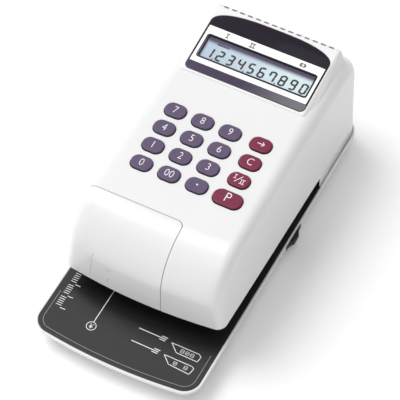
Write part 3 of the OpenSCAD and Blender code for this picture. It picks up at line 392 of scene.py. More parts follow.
def row_tree():
    """Geometry nodes: a shape repeated along a line."""
    tree = bpy.data.node_groups.get("repeat_row")
    if tree:
        return tree
    tree = bpy.data.node_groups.new("repeat_row", "GeometryNodeTree")
    inputs = {"Shape": "Object", "Count": "Int", "Start": "Vector", "Step": "Vector", "Finish": "Material"}
    for name, kind in inputs.items():
        tree.interface.new_socket(name=name, in_out="INPUT", socket_type="NodeSocket" + kind)
    tree.interface.new_socket(name="Geometry", in_out="OUTPUT", socket_type="NodeSocketGeometry")
    given = add(tree, "NodeGroupInput").outputs
    line = add(tree, "GeometryNodeMeshLine", {"mode": "OFFSET", "count_mode": "TOTAL"},
               {"Count": given["Count"], "Start Location": given["Start"], "Offset": given["Step"]})
    shape = add(tree, "GeometryNodeObjectInfo", {"transform_space": "ORIGINAL"}, {"Object": given["Shape"]})
    copies = add(tree, "GeometryNodeInstanceOnPoints", None,
                 {"Points": line.outputs["Mesh"], "Instance": shape.outputs["Geometry"]})
    real = add(tree, "GeometryNodeRealizeInstances", None, {"Geometry": copies.outputs["Instances"]})
    done = add(tree, "GeometryNodeSetMaterial", None,
               {"Geometry": real.outputs["Geometry"], "Material": given["Finish"]})
    add(tree, "NodeGroupOutput", {"is_active_output": True}, {"Geometry": done.outputs["Geometry"]})
    return tree


def repeated(name, shape, count, start, step, material_used=None):
    """Plain mesh of a shape repeated along a line; places are in millimetres."""
    tree = row_tree()
    row = placed(name, bpy.data.meshes.new(name))
    nodes = row.modifiers.new("row", "NODES")
    nodes.node_group = tree
    values = {"Shape": shape, "Count": count, "Finish": material_used,
              "Start": [c * MM for c in start], "Step": [c * MM for c in step]}
    for socket in tree.interface.items_tree:
        if socket.in_out == "INPUT":
            nodes[socket.identifier] = values[socket.name]
    settle(row)
    discard([shape])
    return row


# ---------- Smooth hulls of the head and hood ----------
# Square metres from which a face is a flat of the head, and metres within which a point lies on a skin
BROAD_FACE, SKIN_REACH = 3e-5, 3e-5


def ring_points(side, x, y, z, major, minor, steps):
    """Points and normals on the outer side of a ring round X."""
    found = []
    for i in range(steps):
        a = 2 * math.pi * i / steps
        middle = Vector((x, y + major * math.cos(a), z + major * math.sin(a)))
        for k in range(11):
            b = math.radians(9 * k)
            normal = Vector((side * math.sin(b), math.cos(b) * math.cos(a), math.cos(b) * math.sin(a)))
            found.append((middle + minor * normal, normal))
    return found


def head_points(inset, low, steps=120):
    """Points and normals that the head's smooth hull is stretched over."""
    found = []
    outline = head_outline(inset)
    for i, (x, y) in enumerate(outline):
        before, after = outline[i - 1], outline[(i + 1) % len(outline)]
        normal = Vector((after[1] - before[1], before[0] - after[0], 0)).normalized()
        found += [(Vector((x, y, z)), normal) for z in (low, MOUTH_REAR + 3)]
    roll_y, rear_y = -(HEAD_FRONT - ROLL_R - 0.8), CASE_REAR - REAR_ROLL_R
    side_x, rear_x = DECK_W / 2 - EDGE_R, DECK_W / 2 - HEAD_REAR_R
    roll_z, rear_z = deck(roll_y) - ROLL_R, deck(rear_y) - REAR_ROLL_R
    for s in (-1, 1):
        found += ring_points(s, s * side_x, roll_y + bow(side_x), roll_z, ROLL_R - EDGE_R, EDGE_R - inset,
                             steps)
        found += ring_points(s, s * rear_x, rear_y - bow(rear_x), rear_z, REAR_ROLL_R - HEAD_REAR_R,
                             HEAD_REAR_R - inset, steps)
    for k in range(-9, 10):
        for i in range(steps):
            a = 2 * math.pi * i / steps
            out = Vector((0, math.cos(a), math.sin(a)))
            x, xr = k / 10 * side_x, k / 10 * rear_x
            found.append((Vector((x, roll_y + bow(x), roll_z)) + (ROLL_R - inset) * out, out))
            found.append((Vector((xr, rear_y - bow(xr), rear_z)) + (REAR_ROLL_R - inset) * out, out))
    return found


def hood_points(inset, steps=24):
    """Points and normals that the hood's smooth hull is stretched over."""
    found = []
    top, foot = HOOD_W / 2 - HOOD_EDGE_R, HOOD_FOOT_W / 2 - 1 - inset
    front, rear = HOOD_FRONT + HOOD_EDGE_R, HOOD_REAR - HOOD_EDGE_R
    sink = 3 + 2 * inset
    for s in (-1, 1):
        for y, foot_y in ((rear, rear), (front, front - 1 + inset)):
            corner = Vector((s * top, y, hood(y) - HOOD_EDGE_R))
            for i in range(2 * steps):
                a = math.pi * i / steps
                for k in range(-6, 7):
                    b = math.pi / 2 * k / 6
                    out = Vector((math.cos(b) * math.cos(a), math.cos(b) * math.sin(a), math.sin(b)))
                    found.append((corner + (HOOD_EDGE_R - inset) * out, out))
                out = Vector((math.cos(a), math.sin(a), 0))
                found.append((Vector((s * foot, foot_y, deck(y) - sink)) + out, out))
    return found


def hull(name, points):
    """Convex hull of points with their normals; returns the object and its smooth skin."""
    work = bmesh.new()
    layer = work.verts.layers.float_vector.new("true_normal")
    for place, normal in points:
        vertex = work.verts.new(place * MM)
        vertex[layer] = normal
    result = bmesh.ops.convex_hull(work, input=work.verts, use_existing_faces=False)
    spare = {v for v in result["geom_interior"] + result["geom_unused"] if isinstance(v, bmesh.types.BMVert)}
    spare |= {v for v in work.verts if not v.link_faces}
    bmesh.ops.delete(work, geom=list(spare), context="VERTS")
    bmesh.ops.remove_doubles(work, verts=work.verts, dist=1e-7)
    bmesh.ops.recalc_face_normals(work, faces=work.faces)
    normals = []
    for vertex in work.verts:
        # A vertex of a large flat face takes that face's normal, so the face stays flat to its edge
        broad = [f for f in vertex.link_faces if f.calc_area() > BROAD_FACE]
        if broad:
            normals.append(sum((f.normal * f.calc_area() for f in broad), Vector()).normalized())
        else:
            normals.append(Vector(vertex[layer]).normalized())
    skin = (BVHTree.FromBMesh(work), [[v.index for v in f.verts] for f in work.faces],
            [v.co.copy() for v in work.verts], normals)
    bmesh.ops.dissolve_limit(work, angle_limit=math.radians(0.04), verts=work.verts, edges=work.edges)
    mesh = bpy.data.meshes.new(name)
    work.to_mesh(mesh)
    work.free()
    return placed(name, mesh), skin


def head_core(inset, below=1):
    """The head's hull drawn in on all sides, with its foot lower by some millimetres."""
    return hull("core", head_points(inset, TABLE_LOW - below, 60))[0]


def dressed(piece, skins):
    """Gives each corner that lies on a skin that skin's own smooth normal."""
    mesh = piece.data
    smooth(piece)
    normals = [Vector(c.vector) for c in mesh.corner_normals]
    for polygon in mesh.polygons:
        for corner in polygon.loop_indices:
            place = mesh.vertices[mesh.loops[corner].vertex_index].co
            for tree, faces, points, skin_normals in skins:
                found, face_normal, index, _ = tree.find_nearest(place, SKIN_REACH)
                if index is None or face_normal.dot(polygon.normal) < 0.9:
                    continue
                ends = faces[index]
                weights = poly_3d_calc([points[e] for e in ends], found)
                normal = sum((skin_normals[e] * w for e, w in zip(ends, weights)), Vector()).normalized()
                if normal.dot(polygon.normal) > 0.9:
                    normals[corner] = normal
                    break
    mesh.normals_split_custom_set([tuple(n) for n in normals])
    return piece


# ---------- Materials ----------
def srgb(code):
    """Linear colour of an sRGB hex code."""
    parts = [int(code[i:i + 2], 16) / 255 for i in (1, 3, 5)]
    return [c / 12.92 if c <= 0.04045 else ((c + 0.055) / 1.055) ** 2.4 for c in parts] + [1.0]


def material(name):
    """An empty node material, its tree and its object coordinates."""
    made = bpy.data.materials.new(name)
    made.use_nodes = True
    tree = made.node_tree
    tree.nodes.clear()
    place = add(tree, "ShaderNodeTexCoord").outputs["Object"]
    return made, tree, place


def surface(tree, values):
    """The shader that all of a material's values feed."""
    shader = add(tree, "ShaderNodeBsdfPrincipled", None, values)
    add(tree, "ShaderNodeOutputMaterial", None, {"Surface": shader.outputs["BSDF"]})
    return shader


def grain(tree, place, size, low, high, detail=2.0):
    """Noise with features of a size in millimetres, spread from low to high."""
    noise = add(tree, "ShaderNodeTexNoise", None,
                {"Vector": place, "Scale": 1 / (size * MM), "Detail": detail}).outputs["Fac"]
    spread = add(tree, "ShaderNodeMapRange", None,
                 {"Value": noise, "From Min": 0.3, "From Max": 0.7, "To Min": low, "To Max": high})
    return noise, spread.outputs["Result"]


def tinted(tree, colour, amount):
    """A colour lightened and darkened by a value round 1."""
    scaled = add(tree, "ShaderNodeVectorMath", {"operation": "SCALE"}, {0: colour[:3], "Scale": amount})
    return scaled.outputs["Vector"]


def moulded(name, colour, rough, coat=0.0, texture=0.5, height=0.01, drift=0.02, shine=0.5):
    """Injection moulded plastic: an even colour that drifts a little with the flow, a fine spark-eroded
    texture and a soft gloss."""
    made, tree, place = material(name)
    _, flow = grain(tree, place, 35, 1 - drift, 1 + drift)
    fine, gloss = grain(tree, place, texture, rough * 0.9, rough * 1.1)
    bump = add(tree, "ShaderNodeBump", None, {"Height": fine, "Distance": height * MM, "Strength": 0.5})
    surface(tree, {"Base Color": tinted(tree, colour, flow), "Roughness": gloss, "IOR": 1.53,
                   "Coat Weight": coat, "Coat Roughness": 0.08, "Specular IOR Level": shine,
                   "Normal": bump.outputs["Normal"]})
    return made


def elastic(name, colour, rough=0.75):
    """Moulded rubber: nearly black or grey, matt, with a dusty bloom and a slightly rough skin."""
    made, tree, place = material(name)
    _, bloom = grain(tree, place, 6, 0.9, 1.25)
    fine, gloss = grain(tree, place, 0.35, rough * 0.92, min(1.0, rough * 1.1))
    bump = add(tree, "ShaderNodeBump", None, {"Height": fine, "Distance": 0.03 * MM, "Strength": 0.6})
    surface(tree, {"Base Color": tinted(tree, colour, bloom), "Roughness": gloss, "IOR": 1.52,
                   "Normal": bump.outputs["Normal"]})
    return made


def metal(name, colour, rough, stretch=(1, 1, 1), size=0.25, depth=0.004):
    """Bare or plated metal: the lines of rolling or turning, stretched along one way, break up its sheen."""
    made, tree, place = material(name)
    long = add(tree, "ShaderNodeVectorMath", {"operation": "MULTIPLY"}, {0: place, 1: stretch})
    lines, gloss = grain(tree, long.outputs["Vector"], size, rough * 0.8, rough * 1.25, 3.0)
    _, cloud = grain(tree, place, 9, 0.93, 1.05)
    bump = add(tree, "ShaderNodeBump", None, {"Height": lines, "Distance": depth * MM, "Strength": 0.6})
    surface(tree, {"Base Color": tinted(tree, colour, cloud), "Metallic": 1.0, "Roughness": gloss,
                   "Normal": bump.outputs["Normal"]})
    return made


def circuit_board(name, colour):
    """Glass fibre board under green solder resist: darker copper tracks show through a glossy film."""
    made, tree, place = material(name)
    tracks = add(tree, "ShaderNodeTexVoronoi", {"distance": "CHEBYCHEV"},
                 {"Vector": place, "Scale": 1 / (3.5 * MM)}).outputs["Distance"]
    edge = add(tree, "ShaderNodeMapRange", None,
               {"Value": tracks, "From Min": 0.25, "From Max": 0.32, "To Min": 0.7,
                "To Max": 1.1}).outputs["Result"]
    _, gloss = grain(tree, place, 0.6, 0.3, 0.42)
    bump = add(tree, "ShaderNodeBump", None, {"Height": edge, "Distance": 0.02 * MM, "Strength": 0.5})
    surface(tree, {"Base Color": tinted(tree, colour, edge), "Roughness": gloss, "IOR": 1.5,
                   "Normal": bump.outputs["Normal"]})
    return made


def sponge(name, colour):
    """Open-cell foam soaked with ink: deep pores on a dark, damp body."""
    made, tree, place = material(name)
    cells = add(tree, "ShaderNodeTexVoronoi", {"feature": "F1"}, {"Vector": place, "Scale": 1 / (0.7 * MM)})
    # Painted shade: the colour darkens towards each pore's middle, where the bump sinks, and lightens on the
    # cell walls
    pore_shade = add(tree, "ShaderNodeMapRange", None,
               {"Value": cells.outputs["Distance"], "From Max": 0.6, "To Min": 0.5, "To Max": 1.4})
    bump = add(tree, "ShaderNodeBump", None, {"Height": cells.outputs["Distance"], "Distance": 0.25 * MM})
    surface(tree, {"Base Color": tinted(tree, colour, pore_shade.outputs["Result"]), "Roughness": 0.55, "IOR": 1.4,
                   "Normal": bump.outputs["Normal"]})
    return made


def ink(name, colour, rough=0.45):
    """Screen-printed ink: a thin opaque film, a touch uneven, with the mesh's fine texture."""
    made, tree, place = material(name)
    fine, film = grain(tree, place, 0.25, 0.97, 1.03)
    bump = add(tree, "ShaderNodeBump", None, {"Height": fine, "Distance": 0.004 * MM, "Strength": 0.4})
    surface(tree, {"Base Color": tinted(tree, colour, film), "Roughness": rough, "IOR": 1.5,
                   "Normal": bump.outputs["Normal"]})
    return made


def graded(name, left, right, span, rough=0.12):
    """Colour printed behind acrylic that fades from one side to the other across a span in millimetres."""
    made, tree, place = material(name)
    side = add(tree, "ShaderNodeSeparateXYZ", None, {"Vector": place}).outputs["X"]
    share = add(tree, "ShaderNodeMapRange", {"interpolation_type": "SMOOTHSTEP"},
                {"Value": side, "From Min": span[0] * MM, "From Max": span[1] * MM}).outputs["Result"]
    mixed = add(tree, "ShaderNodeMix", {"data_type": "RGBA"}, {0: share, 6: left, 7: right}).outputs[2]
    _, gloss = grain(tree, place, 4, rough * 0.8, rough * 1.2)
    surface(tree, {"Base Color": mixed, "Roughness": gloss, "IOR": 1.49, "Specular IOR Level": 0.35})
    return made


def crystal(name, lit, cool, shade):
    """Liquid crystal glass: pale blue-grey, cooler to the left, shaded violet by the window's edges."""
    made, tree, place = material(name)
    flat = on_hood().inverted()

    def along(axis):
        row = flat[axis]
        dot = add(tree, "ShaderNodeVectorMath", {"operation": "DOT_PRODUCT"}, {0: place, 1: row[:3]})
        shift = add(tree, "ShaderNodeMath", {"operation": "ADD"}, {0: dot.outputs["Value"], 1: row[3] * MM})
        return shift.outputs[0]

    def rise(value, start, end, shape="SMOOTHSTEP"):
        return add(tree, "ShaderNodeMapRange", {"interpolation_type": shape},
                   {"Value": value, "From Min": start * MM, "From Max": end * MM}).outputs["Result"]

    u, v = along(0), along(1)
    fade = rise(u, -45, 25, "LINEAR")
    body = add(tree, "ShaderNodeMix", {"data_type": "RGBA"}, {0: fade, 6: cool, 7: lit}).outputs[2]
    # Painted shade: the glass turns violet along its top and left edges, where the window's frame shades it
    edges = add(tree, "ShaderNodeMath", {"operation": "MAXIMUM"},
                {0: rise(v, 25.2, 29.4), 1: rise(u, -39.8, -42.6)}).outputs[0]
    mixed = add(tree, "ShaderNodeMix", {"data_type": "RGBA"}, {0: edges, 6: body, 7: shade}).outputs[2]
    _, film = grain(tree, place, 12, 0.97, 1.03)
    filmed = add(tree, "ShaderNodeVectorMath", {"operation": "SCALE"}, {0: mixed, "Scale": film})
    surface(tree, {"Base Color": filmed.outputs["Vector"], "Roughness": 0.16, "IOR": 1.52,
                   "Specular IOR Level": 0.35, "Coat Weight": 0.3, "Coat Roughness": 0.03})
    return made


def jacket(name, colour):
    """Printed film shrunk round a cell: a coloured body with a pale band at the positive end, glossy."""
    made, tree, place = material(name)
    along = add(tree, "ShaderNodeSeparateXYZ", None, {"Vector": place}).outputs["Y"]
    band = add(tree, "ShaderNodeMath", {"operation": "GREATER_THAN"}, {0: along, 1: JACKET_BAND_Y * MM})
    mixed = add(tree, "ShaderNodeMix", {"data_type": "RGBA"},
                {0: band.outputs["Value"], 6: colour, 7: srgb("#c9c6bd")}).outputs[2]
    _, gloss = grain(tree, place, 1.5, 0.18, 0.28)
    surface(tree, {"Base Color": mixed, "Roughness": gloss, "IOR": 1.5, "Coat Weight": 0.4})
    return made


FINISHES = {}


def finish(name):
    """A finish by its slot's name, or by its print's."""
    return FINISHES[name]


def make_finishes(look):
    """All finishes of the machine, one for each slot and one for each print."""
    made = {
        "white_case": moulded("white_abs_moulded", look.case_colour, 0.32, 0.15, 0.6, 0.006, 0.008),
        "black_table": moulded("black_abs_grained", look.table_colour, 0.3, 0.0, 0.5, 0.01, 0.05, 0.45),
        "foot_rubber": elastic("foot_rubber_moulded", srgb("#242424")),
        "display_window": moulded("acrylic_back_printed", look.window_colour, 0.14, 0.0, 8.0, 0.0, 0.02, 0.3),
        "lcd": crystal("lcd_glass", look.lcd_colour, srgb("#a9bccf"), srgb("#3c3450")),
        "board": circuit_board("solder_resist_green", srgb("#2f6b45")),
        "silicone_mat": elastic("silicone_rubber_moulded", srgb("#8f8c86"), 0.6),
        "screw_steel": metal("steel_zinc_plated_screws", srgb("#c3c4c6"), 0.3, (1, 1, 0.3)),
        "zinc_steel": metal("sheet_steel_zinc_plated", srgb("#b4b7ba"), 0.34, (1, 0.06, 1), 0.3),
        "shaft_steel": metal("steel_turned_shafts", srgb("#cfd0d2"), 0.2, (14, 1, 1), 0.4),
        "type_black": moulded("nylon_type_moulded", srgb("#242428"), 0.5, 0.0, 0.3, 0.01, 0.03),
        "gear_brass": metal("brass_hobbed", srgb("#c9a355"), 0.28, (1, 1, 1), 0.5),
        "motor_steel": metal("steel_can_drawn", srgb("#9a9ca0"), 0.28, (0.08, 1, 1), 0.3),
        "ink_foam": sponge("foam_ink_soaked", srgb("#1c1826")),
        "ivory_plastic": moulded("acetal_moulded", srgb("#ddd5bd"), 0.42, 0.0, 0.5, 0.006, 0.02),
        "dark_plastic": moulded("abs_dark_moulded", srgb("#2c2c30"), 0.5, 0.0, 0.4, 0.01, 0.04),
        "roller_rubber": elastic("roller_rubber_ground", srgb("#2b2b2b"), 0.7),
        "slider_black": moulded("abs_black_slider", srgb("#0e0e10"), 0.4, 0.0, 0.4, 0.01, 0.04, 0.25),
        "cell_jacket": jacket("film_jacket_printed", srgb("#33558f")),
        "key_grey": moulded("abs_key_violet_grey", look.key_colour, 0.42, 0.0, 0.45, 0.02, 0.03, 0.4),
        "key_red": moulded("abs_key_crimson", look.red_key_colour, 0.4, 0.0, 0.45, 0.02, 0.03, 0.4),
        # Darker copies of the key colours for the keys' upright sides: painted shade for the shadow on their
        # flanks
        "key_grey_side_shade": moulded("abs_key_violet_side_shade", srgb("#332d3d"), 0.5, 0.0, 0.45, 0.02, 0.03, 0.3),
        "key_red_side_shade": moulded("abs_key_crimson_side_shade", srgb("#3d0d20"), 0.5, 0.0, 0.45, 0.02, 0.03, 0.3),
        "white_print": ink("ink_white_screened", srgb("#f1f0f2")),
        "table_print": ink("ink_white_on_table", srgb("#f4f4f4")),
        "border_print": ink("ink_grey_border", srgb("#98989a")),
        "plate_white": ink("acrylic_white_print", srgb("#fafafa"), 0.2),
        "dark_print": ink("ink_black_screened", srgb("#191720")),
        "lcd_segment": ink("lcd_segment_dark", srgb("#06060a"), 0.4),
        "lcd_label": ink("lcd_label_violet", srgb("#34305a"), 0.3),
        "foot_band": graded("acrylic_graded_band", srgb("#372a48"), srgb("#6e6d75"), (-10, 44)),
    }
    FINISHES.update(made)
    for name, node in NODES.items():
        paint_node(node, made[SLOT_OF[name]])


def paint_node(node, material_used):
    for place in node.material_slots:
        place.material = material_used
    if not node.material_slots:
        node.data.materials.append(material_used)


# ---------- Cutting shapes ----------
def below_mouth():
    """The space under the head, up to the sloping roof of the throat."""
    outline = [(-CASE_FRONT, -1), (-CASE_FRONT, mouth(-CASE_FRONT)), (THROAT_REAR, MOUTH_REAR),
               (THROAT_REAR, TABLE_LOW), (CASE_REAR + PAST, TABLE_LOW), (CASE_REAR + PAST, -1)]
    return loft("below_mouth", [[(x, y, z) for y, z in outline] for x in (-CASE_W, CASE_W)])


def cover_space(grow, low=MOUTH_REAR - PAST, high=DECK_Z + FAR):
    """The ink cover's share of the head, grown past its seam."""
    r, x, y = COVER_CORNER_R, COVER_X + grow, COVER_Y + grow
    outline = [(-CASE_W, -CASE_FRONT), (x, -CASE_FRONT)] + arc(x - r, y - r, r, 0, 90, 16) + [(-CASE_W, y)]
    return prism("cover_space", outline, low, high)


def tongue(x, grow, ahead, behind):
    """One of the cover's two tongues, in line with its travel."""
    place = at(x, COVER_Y, deck(COVER_Y) - TONGUE_DROP) @ Matrix.Rotation(-COVER_LIFT, 4, "X")
    half_w, half_t = TONGUE_W / 2 + grow, TONGUE_T / 2 + grow
    return box("tongue", (-half_w, -ahead, -half_t), (half_w, behind, half_t), place)


def side_boxes(name, near, far, front, rear, low, high):
    """Two boxes, left and right, between two distances from the middle."""
    return [box(name, (min(s * near, s * far), front, low), (max(s * near, s * far), rear, high))
            for s in (-1, 1)]


def panel_outline(grow, count=28):
    """The display panel: a straight foot and sides under a flat arch."""
    half, r = PANEL_W / 2 + grow, PANEL_CORNER_R + grow
    top, side = PANEL_L + grow, PANEL_L - PANEL_ARCH
    angles = [math.pi / 2 * i / count for i in range(count + 1)]
    arch = [(half * max(math.cos(a), 0) ** 0.7, side + (top - side) * math.sin(a) ** 0.9) for a in angles]
    return (arc(half - r, -grow + r, r, -90, 0, 10) + arch + [(-x, y) for x, y in reversed(arch[:-1])]
            + arc(-half + r, -grow + r, r, 180, 270, 10))


def key_place(column, line):
    """Frame of a key, square to the deck; the print key stands a little lower in its line."""
    drop = PRINT_KEY_DROP if (column, line) == PRINT_KEY else 0
    return on_deck(COLUMNS[column], KEY_Y0 - KEY_PITCH_Y * line - drop)


def key_outline(column, line):
    """Outline function of a key's pill shape."""
    width, depth = PRINT_KEY_SIZE if (column, line) == PRINT_KEY else KEY_SIZE
    return grown(width, depth, depth * KEY_END, 20)


# ---------- Prints ----------
def printed(name, strokes, place, material_used, width, low=0.0, high=FILM):
    """Flat printed lines: each stroke is a run of points, drawn with a width in millimetres."""
    bars = []
    for stroke in strokes:
        for (x0, y0), (x1, y1) in zip(stroke, stroke[1:]):
            run = math.hypot(x1 - x0, y1 - y0)
            ux, uy = (x1 - x0) / run * width / 2, (y1 - y0) / run * width / 2
            outline = [(x0 - ux + uy, y0 - uy - ux), (x1 + ux + uy, y1 + uy - ux),
                       (x1 + ux - uy, y1 + uy + ux), (x0 - ux - uy, y0 - uy + ux)]
            bars.append(paint(prism("bar", outline, low, high, place), material_used))
    return joined(name, bars)


def framed(name, outer, inner, place, material_used, low=0.0, high=FILM):
    """Flat ring between two outlines of equal count."""
    levels = ((outer, low), (outer, high), (inner, high), (inner, low))
    rings = [[(x, y, z) for x, y in edge] for edge, z in levels]
    return paint(loft(name, rings, place, closed=True), material_used)


def annulus(name, outer, inner, place, material_used, low=0.0, high=FILM, count=48):
    edges = [circle(0, 0, r, count) for r in (outer, inner)]
    return framed(name, *edges, place, material_used, low, high)


def lettering(text, height, place, material_used, squeeze, weight):
    """A printed character or two from the built-in font, its middle at the place."""
    curve = bpy.data.curves.new("legend", "FONT")
    curve.body = text
    curve.align_x = "CENTER"
    curve.align_y = "CENTER"
    curve.offset = weight
    curve.resolution_u = 6
    holder = placed("legend", curve)
    graph = bpy.context.evaluated_depsgraph_get()
    flat = bpy.data.meshes.new_from_object(holder.evaluated_get(graph))
    bpy.data.objects.remove(holder)
    bpy.data.curves.remove(curve)
    xs, ys = [v.co.x for v in flat.vertices], [v.co.y for v in flat.vertices]
    scale = height / (max(ys) - min(ys))
    middle = Vector(((max(xs) + min(xs)) / 2, (max(ys) + min(ys)) / 2, 0))
    work = bmesh.new()
    work.from_mesh(flat)
    bpy.data.meshes.remove(flat)
    bmesh.ops.remove_doubles(work, verts=work.verts, dist=1e-5)
    bmesh.ops.dissolve_limit(work, angle_limit=0.01, verts=work.verts, edges=work.edges)
    upper = bmesh.ops.extrude_face_region(work, geom=list(work.faces))
    raised = {v for v in upper["geom"] if isinstance(v, bmesh.types.BMVert)}
    for vertex in work.verts:
        flat_place = (vertex.co - middle) * scale
        rise = FILM if vertex in raised else 0
        vertex.co = place @ Vector((flat_place.x * squeeze, flat_place.y, rise)) * MM
    bmesh.ops.recalc_face_normals(work, faces=work.faces)
    mesh = bpy.data.meshes.new("legend")
    work.to_mesh(mesh)
    work.free()
    return paint(placed("legend", mesh), material_used)


def segment_digit(digit, u, height):
    """Outlines of a seven-segment digit whose left edge is at u."""
    h, b = height / 2, SEGMENT_W / 2
    near, far = SEGMENT_GAP + b, DIGIT_W - SEGMENT_GAP - b

    def across(y):
        return [(near, y), (near + b, y + b), (far - b, y + b), (far, y), (far - b, y - b), (near + b, y - b)]

    def upright(x, y):
        low, high = y + SEGMENT_GAP, y + h - SEGMENT_GAP
        return [(x, low), (x + b, low + b), (x + b, high - b), (x, high), (x - b, high - b), (x - b, low + b)]

    shapes = {"a": across(height - b), "g": across(h), "d": across(b),
              "f": upright(b, h - b / 2), "b": upright(DIGIT_W - b, h - b / 2),
              "e": upright(b, b / 2), "c": upright(DIGIT_W - b, b / 2)}
    return [[(u + x + DIGIT_LEAN * y, DIGIT_FOOT + y) for x, y in shapes[s]] for s in SEGMENTS[digit]]


# ---------- Pieces ----------
def tint(name, description, code):
    return FloatVectorProperty(name=name, description=description, subtype="COLOR", size=4, min=0, max=1,
                               default=srgb(code))


def length(name, description, low, high, default):
    return FloatProperty(name=name, description=description, unit="LENGTH", subtype="DISTANCE",
                         min=low, max=high, default=default)


class CheckWriterSettings(bpy.types.PropertyGroup):
    """Sizes and colours that a user would change."""
    case_colour: tint("Case", "Colour of the white shells", "#e6e6e7")
    table_colour: tint("Table", "Colour of the check table", "#1c1c1d")
    key_colour: tint("Number keys", "Colour of the number keys", "#584767")
    red_key_colour: tint("Command keys", "Colour of the command keys", "#750c37")
    window_colour: tint("Window", "Colour printed behind the display panel", "#180e1f")
    lcd_colour: tint("Display glass", "Colour of the unlit display", "#cfdfe4")
    number_shown: StringProperty(name="Number", description="Number on the display, in digits and commas",
                                 default="1,234,567,890")
    digit_height: length("Digit height", "Height of a digit on the display", 0.006, 0.012, 0.0094)
    legend_height: length("Legend height", "Height of a digit on a key", 0.003, 0.008, 0.0058)
    key_round: length("Key edge", "Rounding of a key's upper edge", 0.0002, 0.0015, 0.0007)
    vent_count: IntProperty(name="Vents", description="Number of vent slots behind the hood", min=8, max=15,
                            default=14)
    vent_pitch: length("Vent pitch", "Distance between vent slots", 0.005, 0.0068, 0.0065)
    tick_count: IntProperty(name="Ticks", description="Number of ticks on the ruler", min=6, max=40,
                            default=31)
    tick_pitch: length("Tick pitch", "Distance between the ruler's ticks", 0.001, 0.004, 0.00182)


class PieceOperator:
    """Shared by the operators of the panel."""
    bl_options = {"REGISTER", "UNDO"}

    @staticmethod
    def look(context):
        return context.scene.check_writer


class CHECKWRITER_OT_finishes(PieceOperator, bpy.types.Operator):
    """Make the machine's finishes and put them on all its nodes"""
    bl_idname = "checkwriter.finishes"
    bl_label = "Finishes"

    def execute(self, context):
        make_finishes(self.look(context))
        return {"FINISHED"}


class CHECKWRITER_OT_lower_case(PieceOperator, bpy.types.Operator):
    """Build the tray-shaped lower case with its lip, undercut, bay and bosses"""
    bl_idname = "checkwriter.lower_case"
    bl_label = "Lower case"

    def execute(self, context):
        seat_in, floor_in = LIP_W + LEDGE, UNDERCUT + 3.1
        wall = eased([(floor_in, FLOOR_Z, 0), (UNDERCUT, FLOOR_Z, 2.6), (0, LIP_LOW, 1.2), (0, TABLE_Z, 0.32),
                      (LIP_W, TABLE_Z, 0.17), (LIP_W, TABLE_LOW, 0), (seat_in, TABLE_LOW, 0),
                      (seat_in, LIP_LOW, 0), (floor_in, FLOOR_TOP, 0.5), (floor_in + 2, FLOOR_TOP, 0)])
        tray = layered("lower_shell", case_outline, wall)
        bay_w, bay_l = BAY_W / 2, BAY_L / 2
        ribs = [prism("boss", circle(x, y, BOSS_R), FLOOR_Z + 1, TABLE_LOW) for x, y in BOSSES]
        ribs += [prism("post", circle(x, y, POST_R, 32), FLOOR_Z + 1, TABLE_LOW) for x, y in POSTS]
        ribs += [prism("standoff", circle(x, y, 2.5, 32), BAY_ROOF - 1, BAY_ROOF + 7) for x, y in STANDOFFS]
        ribs.append(box("bay", (-bay_w - WALL, CELL_Y - bay_l - WALL, FLOOR_Z + 1),
                        (bay_w + WALL, CELL_Y + bay_l + WALL, BAY_ROOF)))
        carve(tray, [joined("ribs", ribs)], "UNION")

        side, rear = DOOR_W / 2 + DOOR_GAP, CELL_Y + DOOR_L / 2 + DOOR_GAP
        front = CELL_Y - DOOR_L / 2 - DOOR_TRAVEL - DOOR_GAP
        rail_z = FLOOR_Z + DOOR_T
        neck = NECK_W / 2 + NECK_GAP
        cuts = [box("bay_space", (-bay_w, CELL_Y - bay_l, FLOOR_Z - 1), (bay_w, CELL_Y + bay_l, BAY_TOP)),
                box("door_way", (-side, front, FLOOR_Z - 1), (side, rear, rail_z + OVERLAP)),
                box("door_groove", (-side - RAIL_W, front, rail_z), (side + RAIL_W, rear, rail_z + 0.8)),
                box("neck_way", (NECK_IN - 1, KNOB_Y - neck, NECK_LOW - NECK_GAP),
                    (CASE_W / 2 + 1, KNOB_Y + KNOB_TRAVEL + neck, NECK_HIGH + NECK_GAP))]
        wide = SCREW_HEAD_R + 0.6
        well = [(wide, FLOOR_Z - 1), (wide, FLOOR_Z), (SCREW_HEAD_R, FLOOR_Z + 0.6),
                (SCREW_HEAD_R, SCREW_SEAT_Z), (SCREW_R, SCREW_SEAT_Z), (SCREW_R, TABLE_Z + 1)]
        wells = [turned("screw_well", well, at(x, y), 40) for x, y in BOSSES]
        wells += [prism("foot_seat", circle(x, y, FOOT_R + 0.1), FLOOR_Z - 1, FLOOR_Z + 1)
                  for x in (-FOOT_X, FOOT_X) for y in FOOT_YS]
        carve(tray, cuts + [joined("wells", wells)])
        paint(smooth(tray), finish("white_case"))
        fitted(tray, "case", ["lower_case"])
        return {"FINISHED"}


